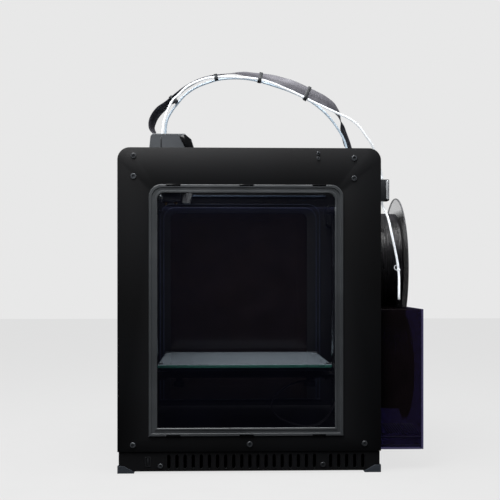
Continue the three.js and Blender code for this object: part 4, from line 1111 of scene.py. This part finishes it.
def build_tube_tie():
    """A white tie round the feed tube, its tail bent into a little hook."""
    points = smooth_route([case_point(*p) for p in FEED_ROUTE])
    i = min(range(len(points)), key=lambda n: abs(points[n].z - 0.331))
    along = (points[i + 1] - points[i - 1]).normalized()
    bm = bmesh.new()
    add_turned(bm, [(2.1 * MM, -1.6 * MM), (3.1 * MM, -1.3 * MM), (3.1 * MM, 1.3 * MM),
                    (2.1 * MM, 1.6 * MM), (2.1 * MM, -1.6 * MM)], points[i], along, steps=24)
    section = [bm.verts.new(points[i] + Vector((-2.4, y, z)) * MM)
               for y, z in ((-1.2, -0.5), (1.2, -0.5), (1.2, 0.5), (-1.2, 0.5))]
    tail = [bm.faces.new(section)]
    pivot = points[i] + Vector((-3.0, 0, 4.4)) * MM
    bmesh.ops.spin(bm, geom=tail, axis=(0, 1, 0), cent=pivot, angle=math.radians(250), steps=14)
    piece("feed_tube_tie", bm, "milky_tube", "case")


def build_filament_guide():
    """The block on the right wall that the filament runs up through, with a corner pin whose pale
    colour is a painted highlight.
    """
    low, high = GUIDE
    bm = bmesh.new()
    add_box(bm, low, high, 1.6 * MM, 3)
    made = piece("filament_guide_block", bm, "black_moulding", "case")
    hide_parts("filament_guide")
    bm = bmesh.new()
    tall = high.z - low.z - 5 * MM
    add_turned(bm, [
        (0, 0), (2.1 * MM, 0), (2.6 * MM, 0.6 * MM), (2.6 * MM, tall - 0.6 * MM),
        (2.1 * MM, tall), (0, tall),
    ], (high.x - 3.2 * MM, low.y, low.z + 2.5 * MM), steps=28)
    piece("guide_corner_pin", bm, "polished_pin", "case")


def add_block(bm, size, place, bevel):
    """A block of a given size, centred and turned by `place`, its edges rounded."""
    made = bmesh.ops.create_cube(bm, size=1, matrix=place @ Matrix.Diagonal((*size, 1)))["verts"]
    edges = {edge for vert in made for edge in vert.link_edges}
    bmesh.ops.bevel(
        bm, geom=list(edges), offset=bevel, segments=2, profile=0.5, affect="EDGES", material=-1)


def nearest(points, target):
    """The index of the point closest to a target."""
    return min(range(len(points)), key=lambda i: (points[i] - target).length)


def square_to(along, across, centre):
    """A placement with Z along a line and X across it."""
    place = Matrix((across, along.cross(across), along)).transposed().to_4x4()
    place.translation = centre
    return place


def build_clips(settings):
    """Four clips that hold the two tubes along the ribbon's edge."""
    route = [case_point(*p) for p in RIBBON_ROUTE]
    ribbon = smooth_route(route)
    leans = leans_along(route, ribbon, RIBBON_LEANS)
    tubes = [smooth_route([case_point(*p) for p in line]) for line in (TUBE_A_ROUTE, TUBE_B_ROUTE)]
    top = max(range(len(ribbon)), key=lambda i: ribbon[i].z)
    arch = [i for i, p in enumerate(ribbon) if p.z > 0.6]
    wide = settings.clip_width
    for number, x in enumerate(CLIP_XS, 1):
        i = min(arch, key=lambda n: abs(ribbon[n].x - case_point(x, 0, 0).x))
        along = (ribbon[i + 1] - ribbon[i - 1]).normalized()
        level = Vector((0, 1, 0))
        across = level.copy()
        across.rotate(Matrix.Rotation(math.radians(leans[i]), 3, along))
        bm = bmesh.new()
        add_block(bm, (RIBBON_W + 4 * MM, 3.4 * MM, wide), square_to(along, across, ribbon[i]),
                  0.5 * MM)
        held = [line[nearest(line, ribbon[i])] for line in tubes]
        middle = (held[0] + held[1]) / 2
        add_block(bm, (abs(held[0].y - held[1].y) + 8 * MM, 6.6 * MM, wide),
                  square_to(along, level, middle), 0.8 * MM)
        edge = ribbon[i] - across * (RIBBON_W / 2)
        stem = Matrix.Translation((edge + middle) / 2) @ towards((middle - edge).normalized())
        add_block(bm, (3 * MM, wide * 0.7, (middle - edge).length + 2 * MM), stem, 0.4 * MM)
        made = loose_piece(f"line_clip_{number}", bm, "black_moulding")
        if i < top:
            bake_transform(made)
        else:
            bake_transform(made)


def build_collars():
    """Small collars where the tubes and the ribbon enter the hood, and the ribbon the ledge."""
    head = bmesh.new()
    for route in (TUBE_A_ROUTE, TUBE_B_ROUTE):
        x, y, _ = route[0]
        add_turned(head, [(2.2 * MM, 0), (4.2 * MM, 0), (4.2 * MM, 3.2 * MM), (3.2 * MM, 4 * MM),
                          (2.2 * MM, 4 * MM), (2.2 * MM, 0)],
                   case_point(x, y, HOOD[1][Z] / MM + 0.1), steps=24)
    x, y, z = RIBBON_ROUTE[0]
    add_box(head, case_point(x - 3, y - 16, z - 1.2), case_point(x + 3, y + 13, z + 5), 0.8 * MM)
    piece("hood_collars", head, "black_moulding", "print_head")
    wall = bmesh.new()
    x, y, _ = RIBBON_ROUTE[-1]
    add_box(wall, case_point(x - 2.6, y - 15, 533.1), case_point(x + 2.6, y + 15, 538), 0.8 * MM)
    piece("wall_collars", wall, "black_moulding", "case")


# ---- stage --------------------------------------------------------------------------------------
def build_stage(settings):
    """Plain pale floor and surroundings, and large soft lights."""
    bm = bmesh.new()
    bmesh.ops.create_grid(bm, x_segments=1, y_segments=1, size=6)
    mesh = bpy.data.meshes.new("studio_floor")
    bm.to_mesh(mesh)
    bm.free()
    floor = bpy.data.objects.new("studio_floor", mesh)
    floor.data.materials.append(FINISHES["paper"])
    bpy.context.scene.collection.objects.link(floor)
    floor.visible_diffuse = False
    floor.visible_glossy = False
    bpy.context.scene.view_settings.view_transform = "Standard"
    build_surroundings(settings)
    for name, place, size, share in (
        ("Top light", (-0.25, -0.35, 1.7), 1.1, 1.0),
        ("Front light", (-0.7, -1.3, 1.6), 1.0, 0.3),
        ("Side light", (1.9, -0.5, 1.5), 1.0, 0.15),
        ("Chamber light", (CASE_X, -0.08, 0.44), 0.28, settings.chamber_share),
    ):
        indoors = place[2] < 1
        lamp = bpy.data.lights.new(name, "AREA")
        lamp.size = size
        lamp.energy = settings.light_power * share
        made = bpy.data.objects.new(name, lamp)
        made.location = place
        aim = Vector((0, 0.05, -1)) if indoors else Vector((0, 0, 0.4)) - Vector(place)
        made.visible_camera = not indoors
        made.visible_glossy = not indoors
        made.rotation_euler = aim.to_track_quat("-Z", "Y").to_euler()
        bpy.context.scene.collection.objects.link(made)


def build_surroundings(settings):
    """Backdrop colour where it is looked at, and a dim room that is brighter overhead for light."""
    world = bpy.data.worlds.new("Studio")
    bpy.context.scene.world = world
    world.use_nodes = True
    tree = world.node_tree
    shown = tree.nodes["Background"]
    shown.inputs["Color"].default_value = (*settings.backdrop, 1.0)
    upward = add_node(tree, "ShaderNodeSeparateXYZ", [
        ("Vector", add_node(tree, "ShaderNodeTexCoord").outputs["Generated"])]).outputs["Z"]
    room = ramp(tree, upward, [(0.0, "#2c2c2e"), (0.35, "#6a6c70"), (1.0, "#e2e4e8")])
    lit = add_node(tree, "ShaderNodeBackground", [("Color", room.outputs["Color"])])
    lit.inputs["Strength"].default_value = settings.room_light
    seen = add_node(tree, "ShaderNodeLightPath").outputs["Is Camera Ray"]
    mixed = add_node(tree, "ShaderNodeMixShader", [
        (0, seen), (1, lit.outputs[0]), (2, shown.outputs[0])])
    tree.links.new(mixed.outputs[0], tree.nodes["World Output"].inputs["Surface"])


def build_camera(settings):
    """The camera, level, a little left of the middle."""
    data = bpy.data.cameras.new("Camera")
    data.lens = settings.lens
    data.sensor_width = 36.0
    data.shift_y = settings.shift_y
    data.dof.use_dof = False
    made = bpy.data.objects.new("Camera", data)
    made.location = (CASE_X + settings.eye[0], settings.eye[1], settings.eye[2])
    made.rotation_euler = (math.pi / 2, 0, -settings.yaw)
    bpy.context.scene.collection.objects.link(made)
    bpy.context.scene.camera = made


# ---- sizes and colours a user may change ----------------------------------------------------------
class PrinterSizes(bpy.types.PropertyGroup):
    """Small sizes of the printer's dressing."""

    edge_radius: bpy.props.FloatProperty(
        name="Sheet edge", description="Rounding of the case sheet's edges",
        default=0.6 * MM, min=0.1 * MM, max=1.2 * MM, precision=4, subtype="DISTANCE", unit="LENGTH")
    screw_radius: bpy.props.FloatProperty(
        name="Screw head", description="Radius of the front panel's screw heads",
        default=4.6 * MM, min=2 * MM, max=6 * MM, precision=4, subtype="DISTANCE", unit="LENGTH")
    screw_height: bpy.props.FloatProperty(
        name="Screw height", description="How far a screw head stands out of the panel",
        default=1.6 * MM, min=0.5 * MM, max=2 * MM, precision=4, subtype="DISTANCE", unit="LENGTH")
    screw_lead: bpy.props.FloatProperty(
        name="Lift screw lead", description="Rise of the lift screws in one turn",
        default=8 * MM, min=2 * MM, max=10 * MM, precision=4, subtype="DISTANCE", unit="LENGTH")
    tube_width: bpy.props.FloatProperty(
        name="Tube width", description="Outside diameter of the filament tubes",
        default=4 * MM, min=3 * MM, max=5 * MM, precision=4, subtype="DISTANCE", unit="LENGTH")
    clip_width: bpy.props.FloatProperty(
        name="Clip width", description="Length of each line clip along the ribbon",
        default=6.5 * MM, min=3 * MM, max=10 * MM, precision=4, subtype="DISTANCE", unit="LENGTH")


class StudioLook(bpy.types.PropertyGroup):
    """Camera, backdrop and lights."""

    eye: bpy.props.FloatVectorProperty(
        name="Eye", description="The camera's place, from the middle of the case's footprint",
        default=(-0.05, -1.811, 0.316), subtype="TRANSLATION", unit="LENGTH")
    lens: bpy.props.FloatProperty(
        name="Lens", description="Focal length in millimetres", default=70.56, min=20, max=200)
    yaw: bpy.props.FloatProperty(
        name="Yaw", description="How far the camera turns to the right",
        default=math.radians(1.81), subtype="ANGLE", unit="ROTATION")
    shift_y: bpy.props.FloatProperty(
        name="Shift", description="Upward lens shift, as a share of the picture's width",
        default=0.058, min=-0.2, max=0.2)
    backdrop: bpy.props.FloatVectorProperty(
        name="Backdrop", description="Colour of the surroundings",
        default=linear("#e8e8e8")[:3], subtype="COLOR", min=0, max=1)
    room_light: bpy.props.FloatProperty(
        name="Room", description="Strength of the light from the surroundings", default=0.5,
        min=0, max=3)
    chamber_share: bpy.props.FloatProperty(
        name="Chamber light", description="Power of the light over the bed, as a share of the key",
        default=0.035, min=0, max=1)
    light_power: bpy.props.FloatProperty(
        name="Key light", description="Power of the main soft light", default=42, min=0, max=500,
        subtype="POWER", unit="POWER")


# ---- operators ----------------------------------------------------------------------------------
class PRINTER_OT_finishes(bpy.types.Operator):
    """Make every finish"""

    bl_idname = "printer.finishes"
    bl_label = "Finishes"

    def execute(self, context):
        make_finishes()
        return {"FINISHED"}


class PRINTER_OT_camera(bpy.types.Operator):
    """Place the camera"""

    bl_idname = "printer.camera"
    bl_label = "Camera"

    def execute(self, context):
        build_camera(context.scene.printer_studio)
        return {"FINISHED"}


class PRINTER_OT_cords(bpy.types.Operator):
    """Lay the tubes and the ribbons"""

    bl_idname = "printer.cords"
    bl_label = "Tubes and ribbons"

    def execute(self, context):
        build_cords(context.scene.printer_sizes)
        return {"FINISHED"}


class PRINTER_OT_clips(bpy.types.Operator):
    """Clip the tubes to the ribbon and collar their ends"""

    bl_idname = "printer.clips"
    bl_label = "Line clips and collars"

    def execute(self, context):
        build_clips(context.scene.printer_sizes)
        build_collars()
        return {"FINISHED"}


class PRINTER_OT_case(bpy.types.Operator):
    """Dress the case's sheet metal and its covers"""

    bl_idname = "printer.case"
    bl_label = "Case and covers"

    def execute(self, context):
        build_case(context.scene.printer_sizes)
        return {"FINISHED"}


class PRINTER_OT_screws(bpy.types.Operator):
    """Set the case's socket screws"""

    bl_idname = "printer.screws"
    bl_label = "Case screws"

    def execute(self, context):
        build_screws(context.scene.printer_sizes)
        return {"FINISHED"}


class PRINTER_OT_base_strip(bpy.types.Operator):
    """Rim the vent slots and fit the data socket"""

    bl_idname = "printer.base_strip"
    bl_label = "Base strip"

    def execute(self, context):
        build_base_strip()
        return {"FINISHED"}


class PRINTER_OT_chamber(bpy.types.Operator):
    """Dress the rods, belts, motors and the bed"""

    bl_idname = "printer.chamber"
    bl_label = "Chamber"

    def execute(self, context):
        build_chamber(context.scene.printer_sizes)
        return {"FINISHED"}


class PRINTER_OT_head(bpy.types.Operator):
    """Dress the print head"""

    bl_idname = "printer.head"
    bl_label = "Print head"

    def execute(self, context):
        build_head()
        return {"FINISHED"}


class PRINTER_OT_spools(bpy.types.Operator):
    """Turn both spools and their windings"""

    bl_idname = "printer.spools"
    bl_label = "Spools"

    def execute(self, context):
        build_spools()
        return {"FINISHED"}


class PRINTER_OT_drybox(bpy.types.Operator):
    """Dress the dry box, its door and its vents"""

    bl_idname = "printer.drybox"
    bl_label = "Dry box"

    def execute(self, context):
        build_drybox()
        return {"FINISHED"}


class PRINTER_OT_guide(bpy.types.Operator):
    """Make the filament guide on the wall"""

    bl_idname = "printer.guide"
    bl_label = "Filament guide"

    def execute(self, context):
        build_filament_guide()
        return {"FINISHED"}


class PRINTER_OT_stage(bpy.types.Operator):
    """Make the floor, the surroundings and the lights"""

    bl_idname = "printer.stage"
    bl_label = "Stage"

    def execute(self, context):
        build_stage(context.scene.printer_studio)
        return {"FINISHED"}


OPERATORS = (
    PRINTER_OT_finishes, PRINTER_OT_camera, PRINTER_OT_cords, PRINTER_OT_clips, PRINTER_OT_case,
    PRINTER_OT_screws, PRINTER_OT_base_strip, PRINTER_OT_chamber, PRINTER_OT_head,
    PRINTER_OT_spools, PRINTER_OT_drybox, PRINTER_OT_guide, PRINTER_OT_stage,
)


class PRINTER_PT_panel(bpy.types.Panel):
    """The printer's steps and sizes in the sidebar"""

    bl_idname = "PRINTER_PT_panel"
    bl_label = "Filament printer"
    bl_space_type = "VIEW_3D"
    bl_region_type = "UI"
    bl_category = "Printer"

    def draw(self, context):
        for group in (context.scene.printer_sizes, context.scene.printer_studio):
            for name in group.__annotations__:
                self.layout.prop(group, name)
        for step in OPERATORS:
            self.layout.operator(step.bl_idname)


CLASSES = (PrinterSizes, StudioLook, *OPERATORS, PRINTER_PT_panel)


def register():
    for kind in CLASSES:
        bpy.utils.register_class(kind)
    bpy.types.Scene.printer_sizes = bpy.props.PointerProperty(type=PrinterSizes)
    bpy.types.Scene.printer_studio = bpy.props.PointerProperty(type=StudioLook)


def unregister():
    del bpy.types.Scene.printer_studio
    del bpy.types.Scene.printer_sizes
    for kind in reversed(CLASSES):
        bpy.utils.unregister_class(kind)


def main():
    """Builds the printer step by step."""
    register()
    for step in OPERATORS:
        group, name = step.bl_idname.split(".")
        getattr(getattr(bpy.ops, group), name)()


if __name__ == "__main__":
    main()
